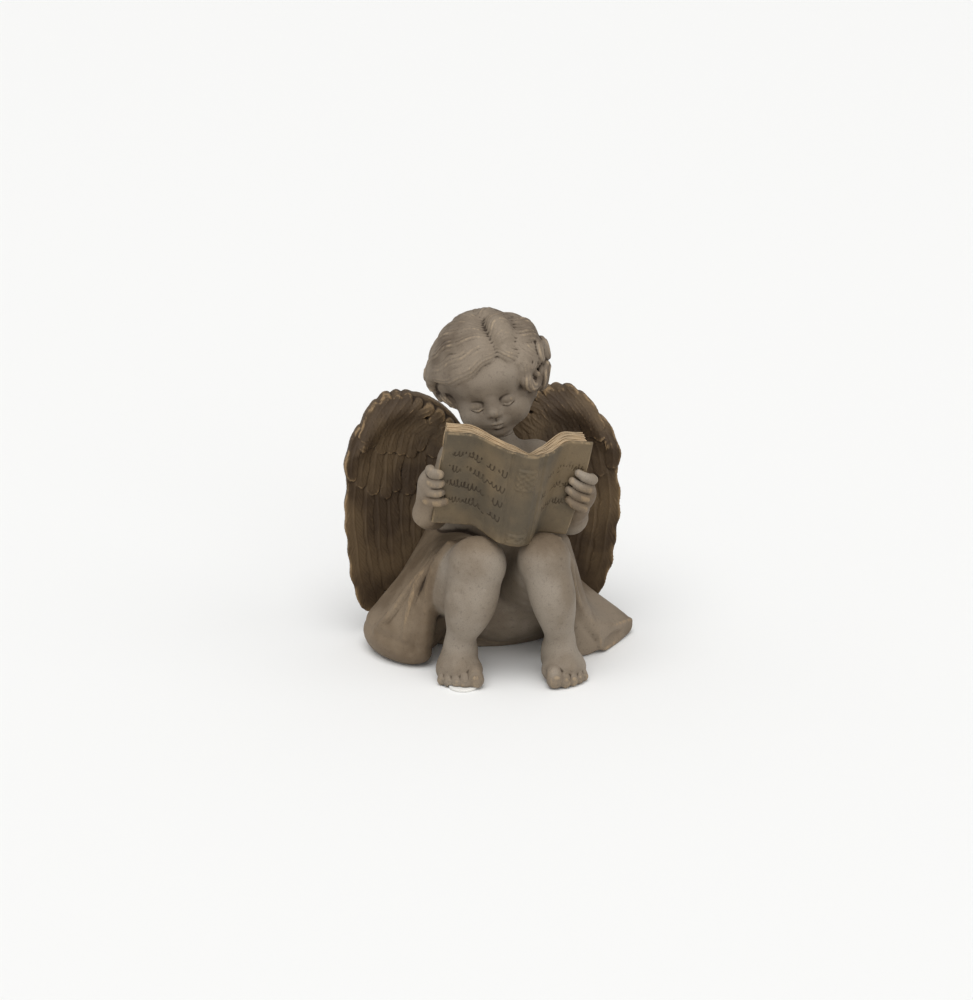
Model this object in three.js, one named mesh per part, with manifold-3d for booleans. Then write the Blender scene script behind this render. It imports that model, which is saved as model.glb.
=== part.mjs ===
// A garden statue of a seated cherub reading a book, cast in one piece, with a felt pad under its
// right toes. Millimetres, +Z up. The figure looks along -Y, so its right side is at -X. The origin is
// the centre of the bounding box, on the ground.
//
// The figure is built the way a modeller builds it in clay: lumps, rolls and sheets are added to or cut
// from one body and smoothed into each other. Each lump is a signed distance, the clay is a grid of
// distances, and its skin is walked by marching cubes and then thinned to the triangles that its
// curvature needs. The book is an extrusion, joined to the clay by a boolean.

import * as THREE from "three";
import { edgeTable, triTable } from "three/addons/objects/MarchingCubes.js";
import { mergeVertices } from "three/addons/utils/BufferGeometryUtils.js";
import Module from "manifold-3d";

const wasm = await Module();
wasm.setup();

// ---------------------------------------------------------------- driving sizes

const PITCH = 2.0; // clay grid
const CLAY_LOW = new THREE.Vector3(-112, -116, -5);
const CLAY_HIGH = new THREE.Vector3(124, 88, 260);
const FIGURE_TRIANGLES = 7900;
const FAR = 12; // distance held by grid points that no lump has reached

const { degToRad, clamp, lerp, smoothstep } = THREE.MathUtils;
const vec = (x, y, z) => new THREE.Vector3(x, y, z);

// ---------------------------------------------------------------- lumps: a box and a signed distance each

function boxAround(points, margin) {
  return new THREE.Box3().setFromPoints(points).expandByScalar(margin);
}

// An ellipsoid, turned by degrees about X, Y and Z.
function ball(centre, radii, turn = [0, 0, 0]) {
  const [rx, ry, rz] = Array.isArray(radii) ? radii : [radii, radii, radii];
  const euler = new THREE.Euler(...turn.map(degToRad), "ZYX");
  const inverse = new THREE.Matrix4()
    .makeRotationFromEuler(euler)
    .setPosition(centre)
    .invert();
  const q = new THREE.Vector3();
  return {
    box: boxAround([centre], Math.max(rx, ry, rz)),
    distance(x, y, z) {
      q.set(x, y, z).applyMatrix4(inverse);
      const near = Math.hypot(q.x / rx, q.y / ry, q.z / rz);
      const slope = Math.hypot(
        q.x / (rx * rx),
        q.y / (ry * ry),
        q.z / (rz * rz),
      );
      return slope > 1e-9
        ? (near * (near - 1)) / slope
        : -Math.min(rx, ry, rz);
    },
  };
}

// A roll of clay along points, with a radius at each point.
function roll(points, radii) {
  const last = points.length - 1;
  const spans = points.slice(0, last).map((a, i) => {
    const along = points[i + 1].clone().sub(a);
    return { a, along, length2: along.lengthSq(), ra: radii[i], rb: radii[i + 1] };
  });
  return {
    box: boxAround(points, Math.max(...radii)),
    distance(x, y, z) {
      let nearest = Infinity;
      for (const { a, along, length2, ra, rb } of spans) {
        const px = x - a.x,
          py = y - a.y,
          pz = z - a.z;
        const t = clamp(
          (px * along.x + py * along.y + pz * along.z) / length2,
          0,
          1,
        );
        const away = Math.hypot(
          px - t * along.x,
          py - t * along.y,
          pz - t * along.z,
        );
        nearest = Math.min(nearest, away - lerp(ra, rb, t));
      }
      return nearest;
    },
  };
}

// A roll along a smooth curve through points; the radius runs through its own stations in the same way.
function curvedRoll(points, radii, steps = 8) {
  const curve = new THREE.CatmullRomCurve3(points, false, "centripetal");
  const sizes = new THREE.SplineCurve(
    radii.map((r, i) => new THREE.Vector2(i / (radii.length - 1), r)),
  );
  const stations = Array.from({ length: steps + 1 }, (_, i) => i / steps);
  return roll(
    stations.map((t) => curve.getPoint(t)),
    stations.map((t) => Math.max(0.3, sizes.getPoint(t).y)),
  );
}

// ---------------------------------------------------------------- clay: the grid that lumps are worked into

// The smaller of two distances, rounded over where they are within a blend of each other.
function blended(a, b, blend) {
  if (blend <= 0) return Math.min(a, b);
  const h = Math.max(blend - Math.abs(a - b), 0) / blend;
  return Math.min(a, b) - (h * h * blend) / 4;
}

class Clay {
  constructor(low, high, pitch) {
    this.low = low;
    this.pitch = pitch;
    this.nx = Math.ceil((high.x - low.x) / pitch) + 1;
    this.ny = Math.ceil((high.y - low.y) / pitch) + 1;
    this.nz = Math.ceil((high.z - low.z) / pitch) + 1;
    this.field = new Float32Array(this.nx * this.ny * this.nz).fill(FAR);
  }

  work(lump, reach, change) {
    const { low, pitch, nx, ny, nz, field } = this;
    const first = (v, n) => clamp(Math.floor(v / pitch), 0, n - 1);
    const { min, max } = lump.box;
    const i0 = first(min.x - reach - low.x, nx),
      i1 = first(max.x + reach - low.x + pitch, nx);
    const j0 = first(min.y - reach - low.y, ny),
      j1 = first(max.y + reach - low.y + pitch, ny);
    const k0 = first(min.z - reach - low.z, nz),
      k1 = first(max.z + reach - low.z + pitch, nz);
    for (let k = k0; k <= k1; k++)
      for (let j = j0; j <= j1; j++)
        for (let i = i0; i <= i1; i++) {
          const n = (k * ny + j) * nx + i;
          const d = lump.distance(
            low.x + i * pitch,
            low.y + j * pitch,
            low.z + k * pitch,
          );
          field[n] = change(field[n], d);
        }
  }

  add(lump, blend = 0) {
    this.work(lump, blend + 2 * this.pitch, (old, d) => blended(old, d, blend));
    return this;
  }

  cut(lump, blend = 0) {
    this.work(lump, blend + 2 * this.pitch, (old, d) => -blended(-old, d, blend));
    return this;
  }

  // Cuts everything below a level, for the flat underside.
  flatten(level) {
    const everywhere = new THREE.Box3(
      this.low,
      this.low.clone().add(vec(this.nx, this.ny, this.nz).multiplyScalar(this.pitch)),
    );
    this.work({ box: everywhere, distance: (x, y, z) => z - level }, 0, (old, d) =>
      Math.max(old, -d),
    );
    return this;
  }

  // Marching cubes: the corner and edge order is that of three's own tables.
  skin() {
    const { low, pitch, nx, ny, nz, field } = this;
    const corners = [
      [0, 0, 0],
      [1, 0, 0],
      [1, 1, 0],
      [0, 1, 0],
      [0, 0, 1],
      [1, 0, 1],
      [1, 1, 1],
      [0, 1, 1],
    ];
    const edges = [
      [0, 1],
      [1, 2],
      [3, 2],
      [0, 3],
      [4, 5],
      [5, 6],
      [7, 6],
      [4, 7],
      [0, 4],
      [1, 5],
      [2, 6],
      [3, 7],
    ];
    const offsets = corners.map(([i, j, k]) => (k * ny + j) * nx + i);
    const axes = edges.map(([a, b]) =>
      corners[a].findIndex((c, n) => c !== corners[b][n]),
    );
    const steps = [1, nx, nx * ny];
    const made = new Map();
    const positions = [];
    const triangles = [];
    const vertexOn = (n, axis) => {
      const key = n * 3 + axis;
      if (!made.has(key)) {
        const a = field[n],
          b = field[n + steps[axis]];
        const at = [
          n % nx,
          Math.floor(n / nx) % ny,
          Math.floor(n / (nx * ny)),
        ];
        at[axis] += clamp(a / (a - b), 0.02, 0.98);
        made.set(key, positions.length / 3);
        positions.push(
          low.x + at[0] * pitch,
          low.y + at[1] * pitch,
          low.z + at[2] * pitch,
        );
      }
      return made.get(key);
    };
    for (let k = 0; k < nz - 1; k++)
      for (let j = 0; j < ny - 1; j++)
        for (let i = 0; i < nx - 1; i++) {
          const n = (k * ny + j) * nx + i;
          let inside = 0;
          for (let c = 0; c < 8; c++) if (field[n + offsets[c]] < 0) inside |= 1 << c;
          if (!edgeTable[inside]) continue;
          for (let t = inside * 16; triTable[t] !== -1; t += 3) {
            const [a, b, c] = [0, 1, 2].map((m) => {
              const e = triTable[t + m];
              return vertexOn(n + offsets[edges[e][0]], axes[e]);
            });
            triangles.push(a, c, b);
          }
        }
    return { positions, triangles };
  }
}

// ---------------------------------------------------------------- thinning: drawing edges in

// Garland's quadric error: each vertex sums the squared distances to the planes of its faces, weighted
// by care. The edges that cost least are drawn in first.
function thinned({ positions, triangles }, target, care) {
  const count = positions.length / 3;
  const quadrics = new Float64Array(count * 10);
  const faces = Array.from({ length: triangles.length / 3 }, (_, f) =>
    triangles.slice(3 * f, 3 * f + 3),
  );
  const around = Array.from({ length: count }, () => new Set());
  const at = (v) => [positions[3 * v], positions[3 * v + 1], positions[3 * v + 2]];
  const cross = (a, b, c) => {
    const ux = b[0] - a[0],
      uy = b[1] - a[1],
      uz = b[2] - a[2];
    const vx = c[0] - a[0],
      vy = c[1] - a[1],
      vz = c[2] - a[2];
    return [uy * vz - uz * vy, uz * vx - ux * vz, ux * vy - uy * vx];
  };
  faces.forEach((face, f) => {
    const [a, b, c] = face.map(at);
    const n = cross(a, b, c);
    const area = Math.hypot(...n) || 1e-12;
    const [x, y, z] = n.map((v) => v / area);
    const w = -(x * a[0] + y * a[1] + z * a[2]);
    const weight = area * care(...a);
    const plane = [x * x, x * y, x * z, x * w, y * y, y * z, y * w, z * z, z * w, w * w];
    for (const v of face) {
      around[v].add(f);
      for (let m = 0; m < 10; m++) quadrics[10 * v + m] += weight * plane[m];
    }
  });
  const neighbours = (v) => {
    const found = new Set();
    for (const f of around[v]) for (const u of faces[f]) if (u !== v) found.add(u);
    return found;
  };
  const errorAt = (q, [x, y, z]) =>
    q[0] * x * x +
    2 * q[1] * x * y +
    2 * q[2] * x * z +
    2 * q[3] * x +
    q[4] * y * y +
    2 * q[5] * y * z +
    2 * q[6] * y +
    q[7] * z * z +
    2 * q[8] * z +
    q[9];
  const best = (u, v) => {
    const q = Array.from({ length: 10 }, (_, m) => quadrics[10 * u + m] + quadrics[10 * v + m]);
    const p = at(u),
      r = at(v);
    const middle = p.map((c, m) => (c + r[m]) / 2);
    const choices = [middle, p, r];
    const [a, b, c, d, e, f, g, h, i] = q;
    const det = a * (e * h - f * f) - b * (b * h - f * c) + c * (b * f - e * c);
    if (Math.abs(det) > 1e-6 * Math.abs(a + e + h) ** 3) {
      const x = -(d * (e * h - f * f) - b * (g * h - f * i) + c * (g * f - e * i)) / det;
      const y = -(a * (g * h - i * f) - d * (b * h - f * c) + c * (b * i - g * c)) / det;
      const z = -(a * (e * i - g * f) - b * (b * i - g * c) + d * (b * f - e * c)) / det;
      const span = Math.hypot(p[0] - r[0], p[1] - r[1], p[2] - r[2]);
      if (Math.hypot(x - middle[0], y - middle[1], z - middle[2]) < 2 * span)
        choices.push([x, y, z]);
    }
    let chosen = null,
      lowest = Infinity;
    for (const choice of choices) {
      const error = errorAt(q, choice);
      if (error < lowest) [chosen, lowest] = [choice, error];
    }
    const length2 = (p[0] - r[0]) ** 2 + (p[1] - r[1]) ** 2 + (p[2] - r[2]) ** 2;
    return { cost: lowest + 1e-5 * length2, to: chosen };
  };

  // A binary heap of edges; a stale entry is one whose stamp has moved on.
  const heap = [];
  const stamps = new Uint32Array(count);
  const swap = (i, j) => ([heap[i], heap[j]] = [heap[j], heap[i]]);
  const push = (u, v) => {
    const { cost, to } = best(u, v);
    heap.push({ cost, to, u, v, su: stamps[u], sv: stamps[v] });
    let i = heap.length - 1;
    while (i && heap[(i - 1) >> 1].cost > heap[i].cost) {
      swap(i, (i - 1) >> 1);
      i = (i - 1) >> 1;
    }
  };
  const pop = () => {
    swap(0, heap.length - 1);
    const top = heap.pop();
    let i = 0;
    for (;;) {
      let child = 2 * i + 1;
      if (child >= heap.length) break;
      if (child + 1 < heap.length && heap[child + 1].cost < heap[child].cost) child++;
      if (heap[i].cost <= heap[child].cost) break;
      swap(i, child);
      i = child;
    }
    return top;
  };
  const turnsOver = (v, gone, to) => {
    for (const f of around[v]) {
      if (faces[f].includes(gone)) continue;
      const before = faces[f].map(at);
      const after = faces[f].map((u, m) => (u === v ? to : before[m]));
      const n = cross(...before),
        m = cross(...after);
      const sizes = Math.hypot(...n) * Math.hypot(...m);
      if (n[0] * m[0] + n[1] * m[1] + n[2] * m[2] < 0.3 * sizes || Math.hypot(...m) < 1e-4)
        return true;
    }
    return false;
  };

  for (let u = 0; u < count; u++) for (const v of neighbours(u)) if (u < v) push(u, v);
  let left = faces.length;
  while (left > target && heap.length) {
    const { u, v, su, sv, to } = pop();
    if (stamps[u] !== su || stamps[v] !== sv || !around[u].size || !around[v].size) continue;
    const mine = neighbours(u),
      theirs = neighbours(v);
    const shared = [...mine].filter((w) => theirs.has(w));
    if (!mine.has(v) || shared.length !== 2) continue;
    if (turnsOver(u, v, to) || turnsOver(v, u, to)) continue;
    [positions[3 * u], positions[3 * u + 1], positions[3 * u + 2]] = to;
    for (let m = 0; m < 10; m++) quadrics[10 * u + m] += quadrics[10 * v + m];
    for (const f of [...around[v]]) {
      if (faces[f].includes(u)) {
        for (const w of faces[f]) around[w].delete(f);
        faces[f] = null;
        left--;
      } else {
        faces[f] = faces[f].map((w) => (w === v ? u : w));
        around[u].add(f);
      }
    }
    around[v].clear();
    stamps[u]++;
    stamps[v]++;
    for (const w of neighbours(u)) push(u, w);
  }
  return { positions, triangles: faces.filter(Boolean).flat() };
}

// ---------------------------------------------------------------- head

const HEAD_CENTRE = vec(0, -12, 202);
const HEAD_SCALE = 0.93;
const HEAD_PITCH = 15; // looking down at the book
const HEAD_ROLL = -14; // crown leaning to the figure's right
const HEAD_YAW = -12; // face turned to its right
const headFrame = new THREE.Matrix4()
  .makeRotationFromEuler(
    new THREE.Euler(degToRad(HEAD_PITCH), degToRad(HEAD_ROLL), degToRad(HEAD_YAW), "ZYX"),
  )
  .setPosition(HEAD_CENTRE);

// Lumps of the head are written in its own frame: +X its left, -Y its face, +Z its crown.
const inHead = (x, y, z) => vec(x, y, z).multiplyScalar(HEAD_SCALE).applyMatrix4(headFrame);
const headBall = (x, y, z, radii, turn = 0) =>
  ball(
    inHead(x, y, z),
    radii.map((r) => r * HEAD_SCALE),
    [HEAD_PITCH, HEAD_ROLL, HEAD_YAW + turn],
  );
const headRoll = (points, radii, steps) =>
  curvedRoll(
    points.map((p) => inHead(...p)),
    radii.map((r) => r * HEAD_SCALE),
    steps,
  );

function sculptFace(clay) {
  clay.add(headBall(0, 4, 7, [31, 34, 32]), 4); // skull
  clay.add(headBall(0, -8, -11, [26, 24, 24]), 8); // face
  for (const side of [-1, 1]) {
    clay.add(headBall(14 * side, -19, -16, [12, 11.5, 12]), 7); // cheek
    clay.add(headBall(9 * side, -14, 14, [18, 17, 14]), 8); // brow
  }
  clay.add(headBall(0, -23, -29.5, [7.5, 7.5, 6]), 7); // chin
  clay.add(headBall(0, -6, -24, [17, 18, 11]), 8); // jaw
  for (const side of [-1, 1]) {
    clay.cut(headBall(11.5 * side, -34, -3, [7, 4.5, 4.5]), 5); // socket
    clay.add(headBall(11.2 * side, -26, -4, [6.6, 5.2, 4.4]), 1.5); // lidded eye
  }
  clay.add(headRoll([[0, -29.5, -2], [0, -31, -8]], [2.4, 3.4], 2), 5); // bridge
  clay.add(headBall(0, -33, -10.5, [4, 4, 3.4]), 3); // nose
  for (const side of [-1, 1]) clay.add(headBall(3.6 * side, -31.6, -12, [2.5, 2.6, 2.1]), 1.5);
  clay.add(headBall(0, -28.5, -19, [8, 5, 5]), 5); // muzzle
  clay.add(headBall(0, -32.4, -18.6, [5.6, 2.4, 1.6]), 1); // lips
  clay.add(headBall(0, -31.8, -21.6, [4.6, 2.4, 1.9]), 1);
}

// ---------------------------------------------------------------- hair

// A place on the head: its bearing turns from the face (0) round to the back (180) and is negative on
// the figure's right, its height is the angle above the ears.
const SKULL = { centre: vec(0, 5, 8), radii: vec(31, 35, 32) };
function facing([bearing, height]) {
  const b = degToRad(bearing),
    h = degToRad(height);
  return vec(Math.sin(b) * Math.cos(h), -Math.cos(b) * Math.cos(h), Math.sin(h));
}
const onHead = (place, lift) =>
  facing(place).multiply(SKULL.radii.clone().addScalar(lift)).add(SKULL.centre);

// A lock follows places on the head, each with a lift off the skull and a radius.
function lock(stations, steps = 8) {
  return headRoll(
    stations.map(([bearing, height, lift]) => onHead([bearing, height], lift).toArray()),
    stations.map((station) => station[3]),
    steps,
  );
}

// Locks on each side run from the parting to the temple, the ear and the nape: bearing, height, lift, radius.
const RIGHT_LOCKS = [
  [[31, 45, 1.5, 3], [8, 41, 3.5, 4.8], [-18, 33, 4.5, 5.2], [-42, 23, 5, 5],
    [-62, 16, 7, 4], [-76, 14, 10, 2.6]],
  [[32, 51, 2, 3.4], [6, 52, 4.5, 5.8], [-26, 45, 5, 6.4], [-54, 31, 5.5, 6],
    [-74, 18, 7, 5], [-86, 10, 10, 3.5]],
  [[36, 58, 2, 3.6], [2, 63, 5, 6.2], [-42, 56, 5.5, 6.8],
    [-72, 36, 5.5, 6.6], [-88, 16, 6.5, 6], [-96, -4, 8, 5]],
  [[44, 64, 2, 4], [-8, 74, 5, 6.6], [-66, 64, 5, 7], [-96, 40, 5, 7],
    [-106, 12, 5.5, 6.6], [-112, -18, 6, 5]],
  [[60, 71, 2, 4.4], [-60, 82, 5, 6.8], [-108, 66, 5, 7], [-122, 38, 5, 7],
    [-128, 8, 5, 6.6], [-130, -28, 4, 5.5]],
  [[90, 78, 2, 4.6], [-150, 82, 5, 6.8], [-148, 62, 5, 7], [-148, 34, 5, 7],
    [-150, 4, 4.5, 6.6], [-152, -34, 3, 5.5]],
];
const LEFT_LOCKS = [
  [[32, 45, 1.5, 3], [41, 37, 4, 4.6], [48, 24, 5, 4.8], [54, 10, 6, 4.4], [58, -6, 6, 3.5]],
  [[33, 51, 2, 3.6], [49, 49, 6, 5.4], [61, 37, 5, 5.6], [66, 22, 8, 5.4], [70, 8, 8, 4.5]],
  [[37, 58, 2, 4], [61, 59, 7, 6], [75, 47, 5.5, 6.2], [80, 32, 9, 6], [84, 14, 10, 5]],
  [[46, 65, 2, 4.2], [80, 66, 7, 6.4], [94, 52, 5.5, 6.6], [98, 34, 8.5, 6.4], [102, 8, 9, 5.5]],
  [[70, 72, 2, 4.4], [110, 67, 6, 6.6], [117, 48, 5.5, 6.8], [121, 26, 7, 6.6], [124, -12, 6, 5.6]],
  [[100, 80, 2, 4.6], [142, 72, 5.5, 6.8], [145, 50, 5, 7], [146, 20, 5, 6.6], [148, -28, 3.5, 5.6]],
];
const BACK_LOCKS = [160, 180, 200].map((b) => [
  [b, 82, 2, 5], [b, 50, 5, 6.5], [b, 16, 5, 6.5], [b, -16, 4, 6], [b, -40, 2, 5],
]);
// Curls sit on soft beds. A bed has a bearing, height and size, a curl a bearing, height, lift, size
// and the way it turns.
const CURL_BEDS = [
  [-88, 0, 12], [-92, -16, 12], [76, 0, 12], [84, -16, 13], [112, -18, 12],
];
const CURLS = [
  [-88, 11, 11, 7.5, 1], [-90, -11, 10, 9.5, -1], [-80, -29, 6, 7.5, 1], [-106, -22, 7, 9.5, 1],
  [62, 8, 6, 6.5, -1], [75, 7, 9, 9.5, -1], [76, -15, 11, 10.5, 1], [62, -16, 8, 8, -1],
  [70, -33, 6, 7.5, 1], [94, -6, 11, 9.5, -1], [98, -26, 7, 9.5, 1], [118, -24, 5, 9, -1],
];

function curl([bearing, height, lift, size, turn]) {
  const out = facing([bearing, height]);
  const side = vec(-out.y, out.x, 0).normalize();
  const up = out.clone().cross(side);
  const middle = onHead([bearing, height], lift);
  const points = [0, 1, 2, 3, 4, 5].map((k) => {
    const angle = turn * k * 0.9 - 1;
    return middle
      .clone()
      .addScaledVector(side, size * (0.8 - 0.12 * k) * Math.cos(angle))
      .addScaledVector(up, size * (0.8 - 0.12 * k) * Math.sin(angle))
      .addScaledVector(out, 0.5 * k)
      .toArray();
  });
  return headRoll(points, [size * 0.5, size * 0.6, size * 0.4], 8);
}

function sculptHair(clay) {
  for (const [bearing, height, size] of CURL_BEDS)
    clay.add(headBall(...onHead([bearing, height], -3).toArray(), [size, size, size]), 6);
  clay.add(headBall(0, 8, 12, [32, 34, 29]), 0); // cap
  clay.add(headBall(0, 18, -10, [24, 20, 22]), 8); // nape
  for (const stations of [...BACK_LOCKS, ...RIGHT_LOCKS, ...LEFT_LOCKS]) clay.add(lock(stations), 1.5);
  for (const placed of CURLS) clay.add(curl(placed), 1.5);
}

// ---------------------------------------------------------------- body, arms and legs

const RIGHT = {
  side: -1,
  hip: vec(-22, 18, 40),
  knee: vec(-18, -65, 84.5),
  calf: vec(-23, -66, 58),
  ankle: vec(-29, -59, 29),
  kneeSize: 19,
  toeOut: 8, // degrees
  shoulder: vec(-20, 8, 140),
  elbow: vec(-43, -20, 110),
  wrist: vec(-50, -44, 117),
  underThigh: [vec(-27, -5, 48), vec(-29.5, -42, 57), vec(-24, -61, 71)],
};
const LEFT = {
  side: 1,
  hip: vec(26, 16, 42),
  knee: vec(27, -73, 89),
  calf: vec(33, -76, 62),
  ankle: vec(40, -69, 29),
  kneeSize: 17,
  toeOut: 6,
  shoulder: vec(37, 6, 138),
  elbow: vec(56, -24, 102),
  wrist: vec(55, -46, 116),
};
// Toes from the big one: outwards, forwards, radius.
const TOES = [
  [-10, 23, 6],
  [-3, 24, 4.4],
  [3, 22.5, 4.1],
  [8.4, 20, 3.8],
  [13, 16.5, 3.5],
];

function sculptTorso(clay) {
  clay.add(ball(vec(4, 24, 88), [36, 30, 50], [6, 0, 0]), 0);
  clay.add(ball(vec(9, 10, 132), [33, 21, 20]), 12);
  clay.add(roll([vec(9, 10, 146), vec(2, -2, 168)], [15, 14]), 8); // neck
}

function sculptArm(clay, arm) {
  clay.add(ball(arm.shoulder, [13, 13, 12]), 8);
  clay.add(roll([arm.shoulder, arm.elbow], [11.5, 12]), 5);
  clay.add(roll([arm.elbow, arm.wrist], [12, 8.5]), 4);
}

function sculptLeg(clay, leg) {
  const { side, hip, knee, calf, ankle, kneeSize, toeOut } = leg;
  const belly = hip.clone().lerp(knee, 0.55).add(vec(side * 4, 0, -2));
  clay.add(curvedRoll([hip, belly, knee], [28, 24, kneeSize], 6), 4);
  if (leg.underThigh) clay.add(curvedRoll(leg.underThigh, [20, 16.5, 13], 5), 5);
  clay.add(ball(knee.clone().add(vec(0, -1, 2)), [kneeSize, kneeSize - 1, kneeSize - 1]), 5);
  clay.add(curvedRoll([knee, calf, ankle], [kneeSize - 1, kneeSize - 1, 9.6], 6), 3);
  const out = vec(Math.sin(degToRad(toeOut)) * side, -Math.cos(degToRad(toeOut)), 0);
  const across = vec(-out.y, out.x, 0).multiplyScalar(side); // towards the little toe
  const sole = (forward, outward, z) =>
    vec(ankle.x, ankle.y, z).addScaledVector(out, forward).addScaledVector(across, outward);
  clay.add(curvedRoll([ankle, sole(-3, 0, 19), sole(-5, 0, 11)], [9.4, 10.4, 11.6], 4), 4); // heel
  clay.add(roll([sole(-2, 0, 19), sole(10, 1, 10.5)], [11.5, 10.5]), 6); // arch
  clay.add(ball(sole(1, 5, 10), [11, 12, 10]), 5); // outer ankle
  clay.add(roll([sole(8, -7, 8.5), sole(6, 9, 7.5)], [8.6, 7.8]), 5); // ball of the foot
  for (const [outward, forward, radius] of TOES)
    clay.add(
      curvedRoll(
        [
          sole(forward - 13, outward * 0.85, 11),
          sole(forward - 6, outward * 0.96, radius + 3.6),
          sole(forward - 1.6, outward, radius),
        ],
        [radius * 0.86, radius * 0.9, radius],
        4,
      ),
      1,
    );
}

// ---------------------------------------------------------------- robe

// The skirt falls round the seat. Each line of it is given by where it leaves the lap, its middle, its
// hem and its roundness there.
const SKIRT = [
  [[-35, -38, 82], [-47, -37, 52], [-52, -34, 10], 6],
  [[-31, -30, 78], [-51, -32, 46], [-62, -27, 12], 10],
  [[-29, -6, 73], [-53, -12, 43], [-73, -5, 14], 13.5],
  [[-28, 18, 70], [-50, 12, 44], [-70, 18, 14], 14],
  [[-28, 38, 78], [-44, 40, 42], [-56, 44, 12], 12],
  [[-12, 46, 84], [-20, 50, 44], [-25, 58, 10], 11],
  [[14, 46, 84], [22, 50, 44], [28, 58, 10], 11],
  [[38, 34, 86], [50, 40, 46], [60, 46, 12], 12],
  [[46, 18, 66], [64, 24, 34], [84, 22, 12], 10],
  [[50, -4, 56], [76, 5, 27], [105, 5, 6.5], 4.5],
  [[50, -30, 60], [72, -18, 25], [95, -13, 7], 6],
  [[46, -52, 86], [60, -42, 36], [81, -30, 8], 6.5],
];
const FLAP = [
  [[42, -48, 90], [49, -47, 56], [57, -36, 8], 6],
  [[45, -42, 90], [55, -40, 48], [69, -29, 7], 6.5],
];
// Turned edges are added and folds are cut: points down the cloth, then a radius.
const RIDGES = [
  [[-33, -40, 92], [-42, -40, 80], [-48, -39, 62], [-51, -38, 40], [-53, -36, 14], 4.2],
  [[-42, -34, 80], [-54, -33, 66], [-61, -33, 48], [-64, -30, 26], [-66, -26, 14], 3],
  [[-40, -14, 76], [-58, -20, 56], [-73, -18, 34], [-82, -10, 20], 2.6],
  [[40, -60, 98], [48, -60, 82], [52, -57, 62], [61, -47, 38], [80, -33, 15], 2.4],
  [[80, -34, 15], [95, -16, 13.5], [108, 3, 9.5], 2],
];
const VALLEYS = [
  [[44, -62, 80], [49, -61, 60], [57, -53, 36], [73, -41, 12], 1.6],
  [[-46, 46, 74], [-58, 50, 40], [-68, 56, 10], 4],
  [[-18, 60, 74], [-24, 64, 40], [-36, 72, 8], 4],
  [[0, 62, 76], [1, 66, 40], [2, 74, 8], 4],
  [[22, 60, 74], [28, 64, 40], [40, 72, 8], 4],
  [[48, 44, 74], [60, 48, 40], [72, 56, 10], 4],
];
// The far fold on the figure's left is cut off square here, facing this way.
const MOUTH = { at: vec(88.5, -24.5, 7.5), facing: vec(0.766, -0.643, 0), turn: 50 };

function drape(clay, folds) {
  const along = (k) => new THREE.CatmullRomCurve3(folds.map((fold) => vec(...fold[k])), false, "centripetal");
  const lines = [along(0), along(1), along(2)];
  const sizes = new THREE.SplineCurve(folds.map((fold, i) => new THREE.Vector2(i, fold[3])));
  const count = (folds.length - 1) * 3;
  for (let n = 0; n <= count; n++) {
    const hem = sizes.getPoint(n / count).y;
    const points = lines.map((line) => line.getPoint(n / count));
    clay.add(curvedRoll(points, [hem * 0.7, hem * 0.85, hem], 6), 7);
  }
}

function endFarFold(clay) {
  const { at, facing, turn } = MOUTH;
  const beyond = new THREE.Box3(vec(78, -58, -6), vec(122, 38, 38));
  clay.cut({ box: beyond, distance: (x, y) => -((x - at.x) * facing.x + (y - at.y) * facing.y) }, 1.2);
  clay.cut(ball(at.clone().addScaledVector(facing, 0.6), [16, 3.4, 4.4], [0, 0, turn]), 1.2);
}

function sculptRobe(clay) {
  const line = (points) => points.map((p) => vec(...p));
  clay.add(ball(vec(5, 28, 14), [56, 36, 56]), 0);
  clay.add(curvedRoll([vec(-24, -6, 70), vec(-38, -8, 44), vec(-52, -4, 20)], [16, 19, 20], 5), 8);
  clay.add(ball(vec(14, 10, 31), [44, 36, 32]), 6); // seat between the shins
  clay.add(roll([vec(2, 14, 20), vec(34, 12, 20)], [19, 19]), 8);
  drape(clay, SKIRT);
  drape(clay, FLAP);
  for (const fold of RIDGES)
    clay.add(curvedRoll(line(fold.slice(0, -1)), fold.slice(0, -1).map(() => fold.at(-1)), 8), 2.5);
  for (const fold of VALLEYS) {
    const width = fold.at(-1);
    clay.cut(curvedRoll(line(fold.slice(0, -1)), [width * 0.7, width, width * 1.2], 8), 1.5 + width);
  }
  endFarFold(clay);
  // Cloth over the lap.
  clay.add(roll([vec(-20, 10, 56), vec(-21, -38, 75)], [27, 20]), 6);
  clay.add(roll([vec(26, 10, 60), vec(28, -46, 80)], [30, 18]), 6);
}

// ---------------------------------------------------------------- wings

// A wing is a sheet cupped round the back. Its points are given by m, the distance out from the spine, and z.
const WING = { outer: 98, back: 44, sheet: 2.6, step: 2.2 };

function wingDepth(m, z) {
  const cup = Math.max(0, m - 38);
  const low = Math.max(0, 90 - z);
  return WING.back + 0.06 * (m - 15) - 0.0072 * cup * cup + 0.04 * low;
}

// Feathers hang in tiers, numbered outwards. Each has a root, a tip and a half width; the bow is how
// far its middle stands out.
function tier(count, level, shape) {
  return Array.from({ length: count }, (_, n) => ({ level, ...shape(n / (count - 1)) }));
}

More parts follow.
